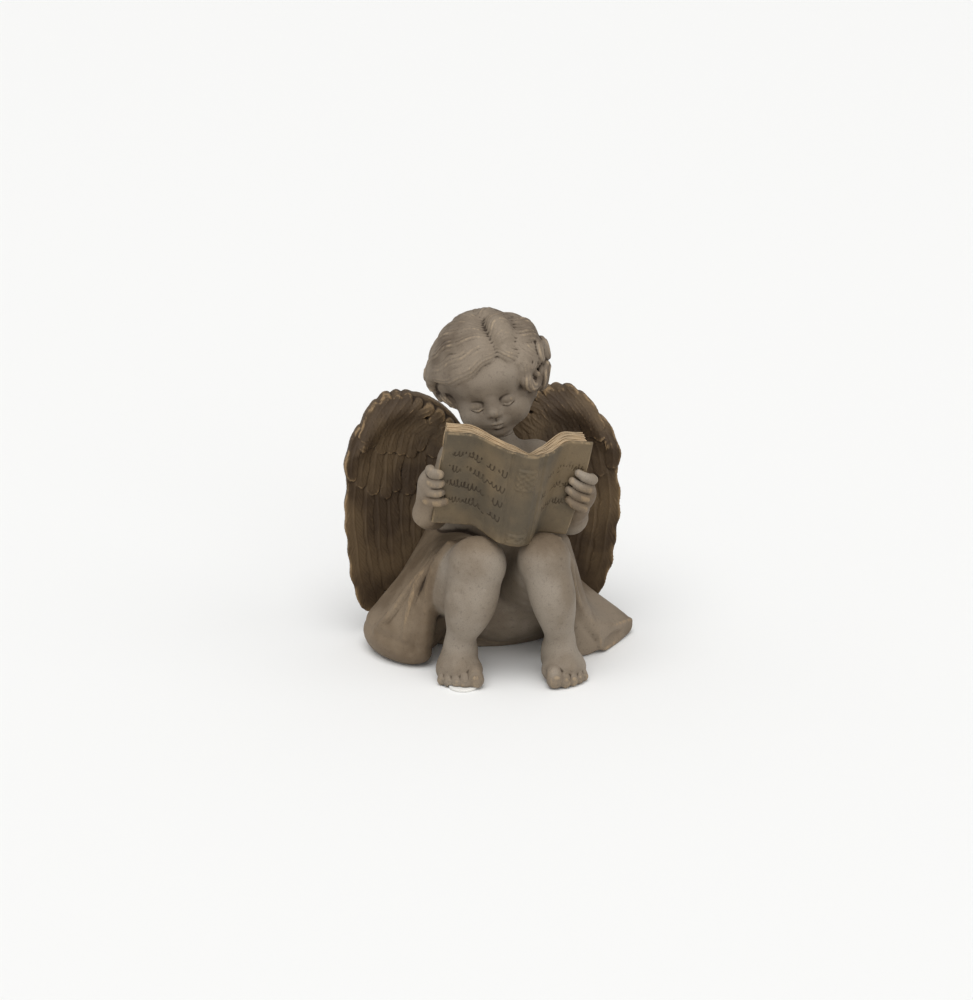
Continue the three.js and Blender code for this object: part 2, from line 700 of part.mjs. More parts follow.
const FEATHERS = [
  ...tier(6, 0, (f) => ({
    root: [lerp(26, 89, f), lerp(122, 138, f)],
    tip: [lerp(30, 80, f), lerp(58, 16, f)],
    half: 8.2,
    bow: 7 * f,
  })),
  ...tier(7, 1, (f) => ({
    root: [lerp(24, 86, f), lerp(140, 156, f)],
    tip: [lerp(26, 94, f), lerp(108, 122, f) - 24 * Math.sin(Math.PI * f) * f],
    half: 7.2,
    bow: 3 * f,
  })),
  ...tier(6, 2, (f) => ({
    root: [lerp(26, 76, f), lerp(158, 166, f)],
    tip: [lerp(28, 86, f), lerp(134, 146, f) - 5 * Math.sin(Math.PI * f)],
    half: 7,
    bow: 2 * f,
  })),
];

// Where a point of the sheet lies on a feather: signed distance to its edge, and its places along and
// across it.
function featherAt(feather, m, z) {
  const [rm, rz] = feather.root;
  const [tm, tz] = feather.tip;
  const length = Math.hypot(tm - rm, tz - rz);
  const um = (tm - rm) / length,
    uz = (tz - rz) / length;
  const along = ((m - rm) * um + (z - rz) * uz) / length;
  const t = clamp(along, 0, 1);
  const across = (m - rm) * -uz + (z - rz) * um - feather.bow * 4 * t * (1 - t);
  const tipStart = 1 - feather.half / length;
  const past = Math.max(0, along - tipStart) * length;
  const before = Math.max(0, -along) * length;
  return {
    distance: Math.hypot(across, past, before) - feather.half,
    along: t,
    across: across / feather.half,
  };
}

// The leading edge: points (m, z) and radii of the arm of the wing.
const WING_ARM = {
  [-1]: [[14, 122], [22, 152], [46, 170], [68, 164], [87, 142]],
  1: [[14, 106], [31, 138], [50, 163], [72, 164], [92, 140]],
};
const WING_ARM_RADII = [9, 9, 8, 7, 4.5];
const WING_SPREAD = { [-1]: 1, 1: 1.03 };

function wing(side) {
  const arm = curvedRoll(
    WING_ARM[side].map(([m, z]) => vec(m, wingDepth(m, z) - 4, z)),
    WING_ARM_RADII,
  );
  const slope = 1.25; // the sheet is steeper than its depth along Y
  return {
    box: new THREE.Box3(
      vec(side > 0 ? 0 : -WING.outer - 8, 5, 4),
      vec(side > 0 ? WING.outer + 8 : 0, 62, 186),
    ),
    distance(x, y, z) {
      const m = x * side;
      let outline = Infinity,
        relief = 0;
      for (const feather of FEATHERS) {
        const { distance, across } = featherAt(feather, m / WING_SPREAD[side], z);
        if (distance > 6) continue;
        const crown = 2.2 * (1 - across * across) - 0.9 * across;
        const edge = smoothstep(distance, -1.2, 1.2);
        relief = Math.max(relief, (WING.step * (feather.level + 0.5) + crown) * (1 - edge));
        outline = Math.min(outline, distance);
      }
      const d = y - wingDepth(m, z);
      const sheet = Math.max(-d - WING.sheet - relief, d - WING.sheet - 0.6 * relief) / slope;
      return blended(Math.max(sheet, outline), arm.distance(m, y, z), 3);
    },
  };
}

// ---------------------------------------------------------------- book

const BOOK = {
  spine: 8.5, height: 69, cover: [54, 48], rise: 24, board: 2.2, gutter: 9, pages: 21, inset: 1.5,
};
const bookFrame = new THREE.Matrix4()
  .makeRotationFromEuler(new THREE.Euler(degToRad(11), degToRad(7), 0, "ZYX"))
  .setPosition(vec(9, -88, 137));

// The open book is bent from flat boards: a is across, b from the cover to the pages, c up the spine. Near
// the bottom the covers fold sharply at the spine and the left one narrows.
function onBook(a, b, c) {
  const { spine, height, cover, rise } = BOOK;
  const low = clamp(0.5 - c / height, 0, 1);
  const out = Math.max(0, Math.abs(a) - spine);
  const fold = smoothstep(out / (cover[a < 0 ? 0 : 1] - spine), 0, lerp(0.66, 0.42, low));
  const bulge = 3 * Math.max(0, 1 - (a / spine) ** 2);
  const narrow = a > spine ? 1 - 0.2 * low * low : 1;
  const across = Math.min(Math.abs(a), spine) + out * narrow;
  return vec(Math.sign(a) * across, b - bulge + rise * fold * narrow, c)
    .applyMatrix4(bookFrame);
}

// A slab of the book between two depths, bent with it and drawn in from the edges of the covers.
function slab(margin, inset, near, far) {
  const { cover, height } = BOOK;
  const [left, right] = [-cover[0] + margin, cover[1] - margin];
  const geometry = new THREE.BoxGeometry(right - left, 1, height - 2 * inset, 32, 1, 5);
  geometry.translate((left + right) / 2, 0, 0);
  const at = geometry.attributes.position;
  for (let i = 0; i < at.count; i++) {
    const a = at.getX(i);
    onBook(a, at.getY(i) < 0 ? near : far(Math.abs(a)), at.getZ(i)).toArray(at.array, i * 3);
  }
  return geometry;
}

function makeBook() {
  const { spine, board, gutter, pages, inset } = BOOK;
  const swell = (a) => lerp(gutter, pages, Math.sqrt(smoothstep(a, 0, spine + 10)));
  const boards = solidOf(slab(0, 0, 0, () => board + 1));
  const leaves = solidOf(slab(2.5, inset, board, swell));
  return boards.add(leaves);
}

// ---------------------------------------------------------------- hands

// Four fingers lie on the cover, the palm wraps the edge and the thumb is inside.
const GRIPS = {
  [-1]: { palm: -8, top: 5, slant: 0.1, reaches: [1, 3, 5, 5] },
  1: { palm: -6, top: 11, slant: 0.5, reaches: [7, 10, 11, 9] },
};

function sculptHand(clay, arm) {
  const { side, wrist } = arm;
  const { palm, top, slant, reaches } = GRIPS[side];
  const cover = BOOK.cover[side < 0 ? 0 : 1];
  const heel = onBook(side * (cover + 4), 6, palm);
  clay.add(roll([wrist, heel], [8.5, 8.5]), 5);
  clay.add(ball(heel, [7, 9, 12]), 4);
  reaches.forEach((reach, n) => {
    const c = top - n * 7;
    const points = [
      onBook(side * (cover + 6), 5, c - slant * 10),
      onBook(side * (cover + 5), -1, c - slant * 6),
      onBook(side * (cover - reach / 2 + 1), -3.2, c),
      onBook(side * (cover - reach), -2.6, c + slant * reach * 0.6),
    ];
    clay.add(curvedRoll(points, [4, 3.9, 3.6, 3.2], 5), 1);
  });
}

// ---------------------------------------------------------------- putting it together

function solidOf(geometry) {
  const bare = geometry.index ? geometry.clone() : geometry;
  for (const name of ["normal", "uv"]) bare.deleteAttribute(name);
  const merged = mergeVertices(bare, 1e-4);
  return new wasm.Manifold(
    new wasm.Mesh({
      numProp: 3,
      vertProperties: merged.attributes.position.array,
      triVerts: new Uint32Array(merged.index.array),
    }),
  );
}

function geometryOf(solid) {
  const mesh = solid.getMesh();
  return new THREE.BufferGeometry()
    .setAttribute("position", new THREE.BufferAttribute(mesh.vertProperties, 3))
    .setIndex(new THREE.BufferAttribute(mesh.triVerts, 1));
}

function geometryFrom({ positions, triangles }) {
  return new THREE.BufferGeometry()
    .setAttribute("position", new THREE.Float32BufferAttribute(positions, 3))
    .setIndex(triangles);
}

// The pad lies in a shallow recess under the right toes, clear of the stone.
const PAD = { radius: 10, thickness: 2.2, gap: 0.3, at: vec(-30, -77.5, 0) };

function disc(radius, height) {
  return new THREE.CylinderGeometry(radius, radius, height, 32)
    .rotateX(Math.PI / 2)
    .translate(PAD.at.x, PAD.at.y, height / 2);
}

// The largest solid of a join: what is left over is a sealed hollow inside it.
function largest(solid) {
  return solid.decompose().sort((a, b) => b.volume() - a.volume())[0];
}

function makeFigure() {
  const clay = new Clay(CLAY_LOW, CLAY_HIGH, PITCH);
  sculptRobe(clay);
  sculptTorso(clay);
  for (const limb of [RIGHT, LEFT]) {
    sculptLeg(clay, limb);
    sculptArm(clay, limb);
    sculptHand(clay, limb);
    clay.add(wing(limb.side), 3);
  }
  sculptHair(clay);
  sculptFace(clay);
  clay.flatten(0);
  const care = (x, y, z) => (z > 160 && y < 20 ? 3 : 1);
  const skin = thinned(clay.skin(), FIGURE_TRIANGLES, care);
  const recess = disc(PAD.radius + PAD.gap, PAD.thickness + PAD.gap);
  const joined = solidOf(geometryFrom(skin)).add(makeBook()).subtract(solidOf(recess));
  return largest(joined.trimByPlane([0, 0, 1], 0)); // stands flat on the ground
}

const stone = new THREE.MeshStandardMaterial({ color: 0x7d7163, roughness: 0.85, metalness: 0 });
const felt = new THREE.MeshStandardMaterial({ color: 0xe4e2dc, roughness: 0.95, metalness: 0 });

const statue = new THREE.Group();
const figure = new THREE.Mesh(geometryOf(makeFigure()), stone);
figure.name = "cherub";
const pad = new THREE.Mesh(disc(PAD.radius, PAD.thickness), felt);
pad.name = "felt_pad";
statue.add(figure, pad);

const extent = new THREE.Box3().setFromObject(statue);
const middle = extent.getCenter(vec(0, 0, 0));
statue.position.set(-middle.x, -middle.y, 0);
export default statue;
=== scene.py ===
# %% [markdown]
# # A cast garden cherub, modelled as if in clay
#
# The object is a garden figure about 250 mm high: a seated child with wings, wrapped in a robe, reading a
# large open book. It is one casting, coloured with a brown base coat, a dark wash that settles in the
# hollows and a paler dry brush on what stands out. A small felt pad sits under the toes of one foot.
#
# A cast figure has no edges, panels or seams to build from, so box modelling would fight it. Sculpting by
# hand can't be written down. Here each form is a lump with a signed distance, lumps are worked into one
# grid of clay with soft joins, and the skin of the clay is meshed. The solid model of the same figure is
# made in the same way, so the two agree, and this one only goes on to finer carving.

import math
import time

import bmesh
import bpy
import numpy as np
import openvdb
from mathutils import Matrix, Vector


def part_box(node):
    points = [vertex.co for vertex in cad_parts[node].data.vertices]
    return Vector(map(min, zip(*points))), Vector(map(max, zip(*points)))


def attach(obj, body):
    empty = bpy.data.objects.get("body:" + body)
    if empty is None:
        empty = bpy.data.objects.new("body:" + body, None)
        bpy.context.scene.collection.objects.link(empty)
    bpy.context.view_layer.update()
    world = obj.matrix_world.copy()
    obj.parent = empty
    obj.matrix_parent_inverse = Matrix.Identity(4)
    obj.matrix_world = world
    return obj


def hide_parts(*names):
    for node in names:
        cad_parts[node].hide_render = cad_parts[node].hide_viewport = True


started = time.time()
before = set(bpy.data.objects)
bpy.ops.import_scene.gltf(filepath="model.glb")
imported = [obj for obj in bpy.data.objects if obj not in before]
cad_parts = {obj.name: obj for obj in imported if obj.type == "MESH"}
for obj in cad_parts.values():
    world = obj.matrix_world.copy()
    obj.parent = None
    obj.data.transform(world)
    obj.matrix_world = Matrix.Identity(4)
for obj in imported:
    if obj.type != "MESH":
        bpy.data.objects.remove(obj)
bpy.context.view_layer.update()

# The figure is modelled in millimetres from a point under its seat. The pad tells where that point is.
PAD_AT = np.array([-30.0, -77.5, 0.0])
pad_low, pad_high = (np.array(corner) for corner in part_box("felt_pad"))
SHIFT = (pad_low + pad_high) / 2 * 1000 - PAD_AT
SHIFT[2] = 0
print("shift, mm:", SHIFT.round(2))

# %% [markdown]
# ## Clay
#
# A signed distance is negative inside a lump and positive outside it. Where two lumps meet, the smaller
# of their distances is the join, and rounding that minimum over a few millimetres is what a thumb does to
# real clay. The clay is a plain grid of such distances. Metaballs would join as softly, but they can't be
# cut into or carved. Each lump only touches the part of the grid near it, so hundreds of them are quick
# to add.

# %% Clay
FAR = 12.0  # the distance that empty clay starts with


def blended(a, b, blend):
    """The smaller of two distances, with the crease between them rounded off."""
    if blend <= 0:
        return np.minimum(a, b)
    h = np.maximum(blend - np.abs(a - b), 0) / blend
    return np.minimum(a, b) - h * h * (blend / 4)


class Clay:
    def __init__(self, low, high, pitch):
        self.low, self.pitch = np.array(low, float), pitch
        self.size = np.ceil((np.array(high) - self.low) / pitch).astype(int) + 1
        self.field = np.full(self.size, FAR, np.float32)

    def window(self, low, high):
        """The part of the grid inside a box, and the places of its cells along each axis."""
        first = np.clip(np.floor((np.array(low) - self.low) / self.pitch).astype(int), 0, self.size)
        last = np.clip(np.ceil((np.array(high) - self.low) / self.pitch).astype(int) + 1, 0, self.size)
        last = np.maximum(last, first)
        where = tuple(slice(f, l) for f, l in zip(first, last))
        axes = [(self.low[k] + self.pitch * np.arange(first[k], last[k], dtype=np.float32)).astype(np.float32)
                for k in range(3)]
        return where, (axes[0][:, None, None], axes[1][None, :, None], axes[2][None, None, :])

    def add(self, lump, blend=0.0):
        where, distance = lump(self, blend + 2 * self.pitch)
        self.field[where] = blended(self.field[where], distance, blend)

    def cut(self, lump, blend=0.0):
        where, distance = lump(self, blend + 2 * self.pitch)
        self.field[where] = -blended(-self.field[where], distance, blend)

    def keep_between(self, low, high):
        """Cuts the clay off level. The whole of it is remembered, so that paint runs on across the cut."""
        self.whole = self.field.copy()
        up = (self.low[2] + self.pitch * np.arange(self.size[2], dtype=np.float32))[None, None, :]
        np.maximum(self.field, np.maximum(low - up, up - high), out=self.field)


print("clay ready")

# %% [markdown]
# ## Lumps
#
# Nearly every form of a figure is a ball or a tapering roll: a skull, a cheek, a finger, a lock of hair,
# a fold of cloth. A roll follows a smooth curve through a few stations. Hair is a roll whose section is
# scalloped, so that strands run along it without being modelled one by one.

# %% Curves
def vec(*numbers):
    return np.array(numbers, float)


def turned(x, y, z):
    """The matrix of a turn about X, then Y, then Z, in degrees."""
    a, b, c = (math.radians(v) for v in (x, y, z))
    rx = np.array([[1, 0, 0], [0, math.cos(a), -math.sin(a)], [0, math.sin(a), math.cos(a)]])
    ry = np.array([[math.cos(b), 0, math.sin(b)], [0, 1, 0], [-math.sin(b), 0, math.cos(b)]])
    rz = np.array([[math.cos(c), -math.sin(c), 0], [math.sin(c), math.cos(c), 0], [0, 0, 1]])
    return rz @ ry @ rx


def through(points, t):
    """A point at t, from 0 to 1, on a smooth curve through points (centripetal Catmull-Rom)."""
    points = [np.asarray(p, float) for p in points]
    last = len(points) - 1
    place = min(max(t, 0), 1) * last
    i = min(int(place), last - 1)
    w = place - i
    p1, p2 = points[i], points[i + 1]
    p0 = points[i - 1] if i > 0 else 2 * p1 - p2
    p3 = points[i + 2] if i + 2 <= last else 2 * p2 - p1
    d0, d1, d2 = (max(np.linalg.norm(b - a) ** 0.5, 1e-4) for a, b in ((p0, p1), (p1, p2), (p2, p3)))
    t1 = ((p1 - p0) / d0 - (p2 - p0) / (d0 + d1) + (p2 - p1) / d1) * d1
    t2 = ((p2 - p1) / d1 - (p3 - p1) / (d1 + d2) + (p3 - p2) / d2) * d1
    return p1 + w * t1 + w * w * (3 * p2 - 3 * p1 - 2 * t1 - t2) + w**3 * (2 * p1 - 2 * p2 + t1 + t2)


def eased(values, t):
    """A number at t on a smooth curve through values at equal steps."""
    last = len(values) - 1
    place = min(max(t, 0), 1) * last
    i = min(int(place), last - 1)
    w = place - i
    p0, p1, p2, p3 = values[max(i - 1, 0)], values[i], values[i + 1], values[min(i + 2, last)]
    v0, v1 = (p2 - p0) / 2, (p3 - p1) / 2
    return (2 * p1 - 2 * p2 + v0 + v1) * w**3 + (-3 * p1 + 3 * p2 - 2 * v0 - v1) * w * w + v0 * w + p1


def smooth(x, low, high):
    """Rises gently from 0 at low to 1 at high."""
    t = np.clip((x - low) / (high - low), 0, 1)
    return t * t * (3 - 2 * t)


def lerp(a, b, t):
    return a + (b - a) * t


print("half way along a bend:", through([(0, 0, 0), (1, 1, 0), (2, 0, 0)], 0.5))

# %% Balls and rolls
def ball(centre, radii, turn=(0, 0, 0)):
    centre = np.asarray(centre, float)
    radii = np.asarray(radii if np.ndim(radii) else [radii] * 3, float)
    inverse = turned(*turn).T
    half = np.abs(turned(*turn)) @ radii

    def measure(clay, reach):
        where, (x, y, z) = clay.window(centre - half - reach, centre + half + reach)
        x, y, z = x - centre[0], y - centre[1], z - centre[2]
        near = slope = 0
        for row, r in zip(inverse.astype(np.float32), radii):
            q = row[0] * x + row[1] * y + row[2] * z
            near = near + (q / r) ** 2
            slope = slope + (q / (r * r)) ** 2
        near = np.sqrt(near)
        return where, near * (near - 1) / np.maximum(np.sqrt(slope), 1e-6)

    return measure


def roll(points, radii, strands=0, depth=0.12, wobble=0.0):
    """A round bar through points; strands scallop it, to a depth that is a share of its radius."""
    points = [np.asarray(p, float) for p in points]

    def measure(clay, reach):
        grow = max(radii) + reach
        where, _ = clay.window(np.min(points, 0) - grow, np.max(points, 0) + grow)
        out = np.full([s.stop - s.start for s in where], FAR, np.float32)
        side = None
        travelled = 0.0
        for a, b, ra, rb in zip(points, points[1:], radii, radii[1:]):
            along = b - a
            length = np.linalg.norm(along)
            if length < 1e-9:
                continue
            grow = max(ra, rb) + reach
            part, (x, y, z) = clay.window(np.minimum(a, b) - grow, np.maximum(a, b) + grow)
            inner = tuple(slice(p.start - w.start, p.stop - w.start) for p, w in zip(part, where))
            x, y, z = x - a[0], y - a[1], z - a[2]
            t = np.clip((x * along[0] + y * along[1] + z * along[2]) / length**2, 0, 1)
            x, y, z = x - t * along[0], y - t * along[1], z - t * along[2]
            away = np.sqrt(x * x + y * y + z * z)
            size = ra + (rb - ra) * t
            if strands:
                way = along / length
                if side is None:
                    side = np.cross(way, [0.3, 0.2, 0.9])
                side = side - way * side.dot(way)
                side /= np.linalg.norm(side)
                other = np.cross(way, side)
                angle = np.arctan2(
                    x * other[0] + y * other[1] + z * other[2], x * side[0] + y * side[1] + z * side[2]
                )
                run = travelled + t * length
                groove = 1 - np.abs(np.sin(strands * angle / 2 + wobble * np.sin(run * 0.35)))
                size = size * (1 - depth * groove**1.5)
            out[inner] = np.minimum(out[inner], away - size)
            travelled += length
        return where, out

    return measure


def curved_roll(points, radii, steps=16, **carving):
    stations = [i / steps for i in range(steps + 1)]
    radii = [max(0.2, eased(radii, t)) for t in stations]
    return roll([through(points, t) for t in stations], radii, **carving)


print("lumps ready")

# %% [markdown]
# ## Head and face
#
# The head bows over the book, leans to one side and turns a little. It is modelled upright in a frame of
# its own and placed by one rotation, because a face is easier to keep even when it looks straight ahead.
# The face is a plain young child's: the eye line at half the height of the head, a short rounded nose,
# full cheeks, a small mouth and chin, and lowered lids.

# %% Head and face
HEAD_CENTRE = vec(0, -12, 202)
HEAD_SCALE = 0.93
HEAD_TURN = (15, -14, -12)  # bowed, leaning, turned
head_matrix = turned(*HEAD_TURN)


def in_head(x, y, z):
    return head_matrix @ (vec(x, y, z) * HEAD_SCALE) + HEAD_CENTRE


def head_ball(x, y, z, radii, turn=0):
    return ball(in_head(x, y, z), np.array(radii) * HEAD_SCALE, (*HEAD_TURN[:2], HEAD_TURN[2] + turn))


def head_roll(points, radii, steps=12, **carving):
    return curved_roll([in_head(*p) for p in points], [r * HEAD_SCALE for r in radii], steps, **carving)


def sculpt_face(clay):
    clay.add(head_ball(0, 4, 7, [31, 34, 32]), 4)  # skull
    clay.add(head_ball(0, -8, -11, [26, 24, 24]), 8)  # face
    for side in (-1, 1):
        clay.add(head_ball(14 * side, -19, -16, [12, 11.5, 12]), 7)  # cheek
        clay.add(head_ball(9 * side, -14, 14, [18, 17, 14]), 8)  # brow
    clay.add(head_ball(0, -23, -29.5, [7.5, 7.5, 6]), 7)  # chin
    clay.add(head_ball(0, -6, -24, [17, 18, 11]), 8)  # jaw
    for side in (-1, 1):
        clay.cut(head_ball(11.5 * side, -34, -3, [7, 4.5, 4.5]), 5)  # socket
        clay.add(head_ball(11.2 * side, -25.2, -4.2, [6.4, 5.4, 4.6]), 1.2)  # eyeball under its lid
        # the upper lid's rim, the crease over it and the lower lid
        rim = [[17 * side, -27.2, -5.6], [11.4 * side, -31, -7], [5.4 * side, -28.6, -5.2]]
        crease = [[17.2 * side, -27.6, -1.6], [11.4 * side, -30.6, 0.3], [5.6 * side, -29.4, -1.8]]
        pouch = [[15.6 * side, -27.4, -8.4], [11.4 * side, -29.8, -9.8], [7 * side, -29.2, -8]]
        clay.cut(head_roll([(p[0], p[1] - 0.2, p[2] - 0.9) for p in rim], [0.25, 0.5, 0.25]), 0.7)
        clay.add(head_roll(rim, [0.3, 0.75, 0.35]), 0.6)
        clay.cut(head_roll(crease, [0.2, 0.45, 0.2]), 0.9)
        clay.add(head_roll(pouch, [0.4, 0.9, 0.4]), 1.6)
    clay.add(head_roll([[0, -29.5, -2], [0, -31, -8]], [2.4, 3.4], 4), 5)  # bridge
    clay.add(head_ball(0, -33, -10.5, [3.9, 3.9, 3.3]), 2.5)  # nose
    for side in (-1, 1):
        clay.add(head_ball(3.7 * side, -31.6, -12, [2.4, 2.6, 2.1]), 1.4)
        clay.cut(head_ball(2 * side, -33.6, -13.7, [1.1, 1.2, 0.9]), 0.8)
    clay.add(head_ball(0, -28.5, -19, [8, 5, 5]), 5)  # muzzle
    clay.cut(head_roll([[0, -34.3, -14.8], [0, -34.6, -16.6]], [0.5, 0.6], 4), 1.8)  # groove under the nose
    upper = [
        [-5.8, -30.4, -20.4], [-2.4, -33.2, -19], [0, -33.3, -19.4], [2.4, -33.2, -19], [5.8, -30.4, -20.4]
    ]
    lower = [[-4.4, -30.6, -21.9], [0, -32.7, -22.6], [4.4, -30.6, -21.9]]
    clay.add(head_roll(upper, [0.5, 1.4, 1.2, 1.4, 0.5], 16), 0.8)
    clay.add(head_roll(lower, [0.6, 1.7, 0.6]), 0.8)
    clay.cut(head_roll([[-6.4, -31, -20.7], [0, -34.4, -20.9], [6.4, -31, -20.7]], [0.3, 0.5, 0.3]), 0.7)
    clay.cut(head_ball(0, -31.2, -26.2, [4.5, 1.4, 1.1]), 2)  # hollow over the chin


print("head at", HEAD_CENTRE, "scale", HEAD_SCALE)

# %% [markdown]
# ## Hair
#
# The hair parts from crown to forehead. On the figure's right it is combed smooth and curls over the ear.
# On its left it falls in waves. Blender's hair curves would make thousands of thin hairs, but cast hair
# is a few thick locks. A place on the head is a bearing round from the face and a height above the ears,
# so a lock is a short row of such places, each with its lift off the skull and its thickness.

# %% Places on the head
SKULL_CENTRE, SKULL_RADII = vec(0, 5, 8), vec(31, 35, 32)


def facing(bearing, height):
    """The direction at a bearing round from the front and a height above level, in degrees."""
    b, h = math.radians(bearing), math.radians(height)
    return vec(math.sin(b) * math.cos(h), -math.cos(b) * math.cos(h), math.sin(h))


def on_head(bearing, height, lift):
    return facing(bearing, height) * (SKULL_RADII + lift) + SKULL_CENTRE


RIGHT_LOCKS = [  # bearing, height, lift and radius, from the parting to the tip
    [[31, 45, 1.5, 3], [8, 41, 3.5, 4.8], [-18, 33, 5, 5.4],
     [-42, 23, 5.5, 5], [-62, 14, 8, 4.2], [-76, 13, 12, 2.8]],
    [[32, 51, 2, 3.4], [6, 52, 4.5, 5.8], [-26, 45, 5.5, 6.6],
     [-54, 29, 6, 6], [-74, 14, 8.5, 5.2], [-84, 2, 12, 3.6]],
    [[36, 58, 2, 3.6], [2, 63, 5, 6.2], [-42, 56, 6, 7],
     [-72, 34, 6, 6.8], [-88, 12, 9, 6], [-96, -12, 9, 5]],
    [[44, 64, 1.4, 4], [-8, 74, 4.3, 6.6], [-66, 64, 5.5, 7],
     [-96, 40, 5.5, 7], [-106, 12, 7, 6.6], [-112, -18, 7, 5]],
    [[60, 71, 1.4, 4.4], [-60, 82, 4.2, 6.8], [-108, 66, 5, 7],
     [-122, 38, 5, 7], [-128, 8, 5, 6.6], [-130, -28, 4, 5.5]],
    [[90, 78, 1.4, 4.6], [-150, 82, 4.2, 6.8], [-148, 62, 5, 7],
     [-148, 34, 5, 7], [-150, 4, 4.5, 6.6], [-152, -34, 3, 5.5]],
]
LEFT_LOCKS = [
    [[32, 45, 1.5, 3], [41, 37, 5, 4.8], [48, 24, 4.5, 5], [54, 10, 7, 4.6], [58, -6, 6, 3.5]],
    [[33, 51, 2.5, 3.6], [48, 50, 8, 6], [61, 37, 4, 5.8], [66, 20, 9, 5.8], [70, 4, 8, 4.5]],
    [[36, 58, 3, 4], [60, 61, 9.5, 6.6], [75, 46, 4.5, 6.4], [80, 30, 10.5, 6.6], [84, 12, 10, 5]],
    [[46, 65, 2, 4.2], [80, 66, 7.5, 6.8], [94, 50, 4.5, 6.6], [98, 32, 10, 6.8], [102, 6, 9, 5.5]],
    [[70, 72, 1.4, 4.4], [110, 67, 5.2, 6.6], [117, 48, 5, 6.8], [121, 26, 8, 6.6], [124, -12, 6, 5.6]],
    [[100, 80, 1.4, 4.6], [142, 72, 4.8, 6.8], [145, 50, 5, 7], [146, 20, 5.5, 6.6], [148, -28, 4, 5.6]],
]
BACK_LOCKS = [
    [[b, 84, 2, 5], [b, 54, 5, 7], [b, 18, 5, 7], [b, -20, 5, 7], [b, -52, 4, 5.5]] for b in (164, 180, 196)
]
print(len(RIGHT_LOCKS + LEFT_LOCKS + BACK_LOCKS), "main locks")

# %% Curls and combing
CURL_BEDS = [[-88, 0, 12], [-92, -16, 12], [76, 0, 12], [84, -16, 13], [112, -18, 12]]  # and radius
CURLS = [  # bearing, height, lift, size, way round, where it starts
    [-88, 11, 11, 8.5, 1, 2.5], [-90, -10, 10, 10.5, -1, -1], [-80, -28, 5, 9, 1, 0],
    [-106, -22, 6, 11, 1, 0.5], [66, 26, 8, 8, -1, 2], [57, 12, 7, 9, -1, 2.4], [59, -7, 7, 10, 1, 2],
    [67, -28, 5, 9, -1, 0.5], [77, 7, 10, 11.5, 1, -1], [80, -15, 10, 12, -1, -1.5],
    [96, -2, 11, 11.5, 1, -0.5], [99, -26, 6, 11.5, 1, 0], [119, -22, 4, 10.5, -1, 1],
]
COMBING = [  # locks, how far they wave, how deep their strands are cut
    (BACK_LOCKS, 1.6, 0.11), (RIGHT_LOCKS, 0.9, 0.11), (LEFT_LOCKS, 2.4, 0.13)
]
THIN_LOCKS = [(0.34, 1.5, 0.56), (0.68, 0.8, 0.6)]  # how far to the next lock, lift and size
LOCK_JOIN, THIN_JOIN, CURL_JOIN = 2.6, 2.4, 1.5  # how softly each is pressed into the hair
CURL_STEPS, CURL_TURN = 9, 0.58  # places along a curl, and the turn from one to the next
CURL_TAPER = (0.26, 0.46, 0.48, 0.4, 0.24)
print(len(CURLS), "curls")

# %% Locks and curls
def lock(stations, wave, phase, steps=30, **carving):
    """A lock laid through its stations on the head, swinging from side to side as hair does."""
    points = [on_head(*station[:3]) for station in stations]
    laid = []
    for k in range(steps + 1):
        t = k / steps
        here = through(points, t)
        ahead = through(points, min(t + 0.02, 1)) - through(points, max(t - 0.02, 0))
        sideways = np.cross(ahead, here - SKULL_CENTRE)
        sideways /= max(np.linalg.norm(sideways), 1e-6)
        laid.append(in_head(*(here + sideways * wave * math.sin(9 * t + phase) * smooth(t, 0.05, 0.4))))
    radii = [eased([s[3] for s in stations], k / steps) * HEAD_SCALE for k in range(steps + 1)]
    return roll(laid, radii, **carving)


def curl(bearing, height, lift, size, way, start):
    """A lock wound into a flat coil that lies against the head."""
    out = facing(bearing, height)
    side = np.cross([0, 0, 1], out)
    side /= np.linalg.norm(side)
    up = np.cross(out, side)
    middle = on_head(bearing, height, lift)
    points = []
    for k in range(CURL_STEPS):
        angle, reach = way * k * CURL_TURN + start, size * (0.86 - 0.07 * k)
        points.append(middle + side * reach * math.cos(angle) + up * reach * math.sin(angle) + out * 0.4 * k)
    return head_roll(points, [size * f for f in CURL_TAPER], 34, strands=7, depth=0.14, wobble=0.7)


def between(first, second, f, lift, size):
    """A lock part of the way from one lock to the next, a little thinner and prouder."""
    mixed = [[lerp(p, q, f) for p, q in zip(a, b)] for a, b in zip(first, second)]
    return [[bearing, height, low + lift, radius * size] for bearing, height, low, radius in mixed]


def sculpt_hair(clay):
    clay.add(head_ball(0, 7, 12.5, [33, 35.4, 30.4]), 0)  # cap
    clay.add(head_ball(0, 18, -10, [24, 20, 22]), 8)  # nape
    for bearing, height, size in CURL_BEDS:
        clay.add(head_ball(*on_head(bearing, height, -3), [size] * 3), 6)
    for rows, wave, carve in COMBING:
        for n, stations in enumerate(rows):
            phase = 1.3 * n
            clay.add(lock(stations, wave, phase, strands=11, depth=carve, wobble=0.8), LOCK_JOIN)
            for f, lift, size in THIN_LOCKS if n + 1 < len(rows) else ():
                thin = between(stations, rows[n + 1], f, lift, size)
                thin = lock(thin, wave * 1.3, phase + 2.5 * f, strands=5, depth=0.16, wobble=1.1)
                clay.add(thin, THIN_JOIN)
    for placed in CURLS:
        clay.add(curl(*placed), CURL_JOIN)


print("thin locks between the main ones:",
      sum((len(rows) - 1) * len(THIN_LOCKS) for rows, *_ in COMBING))

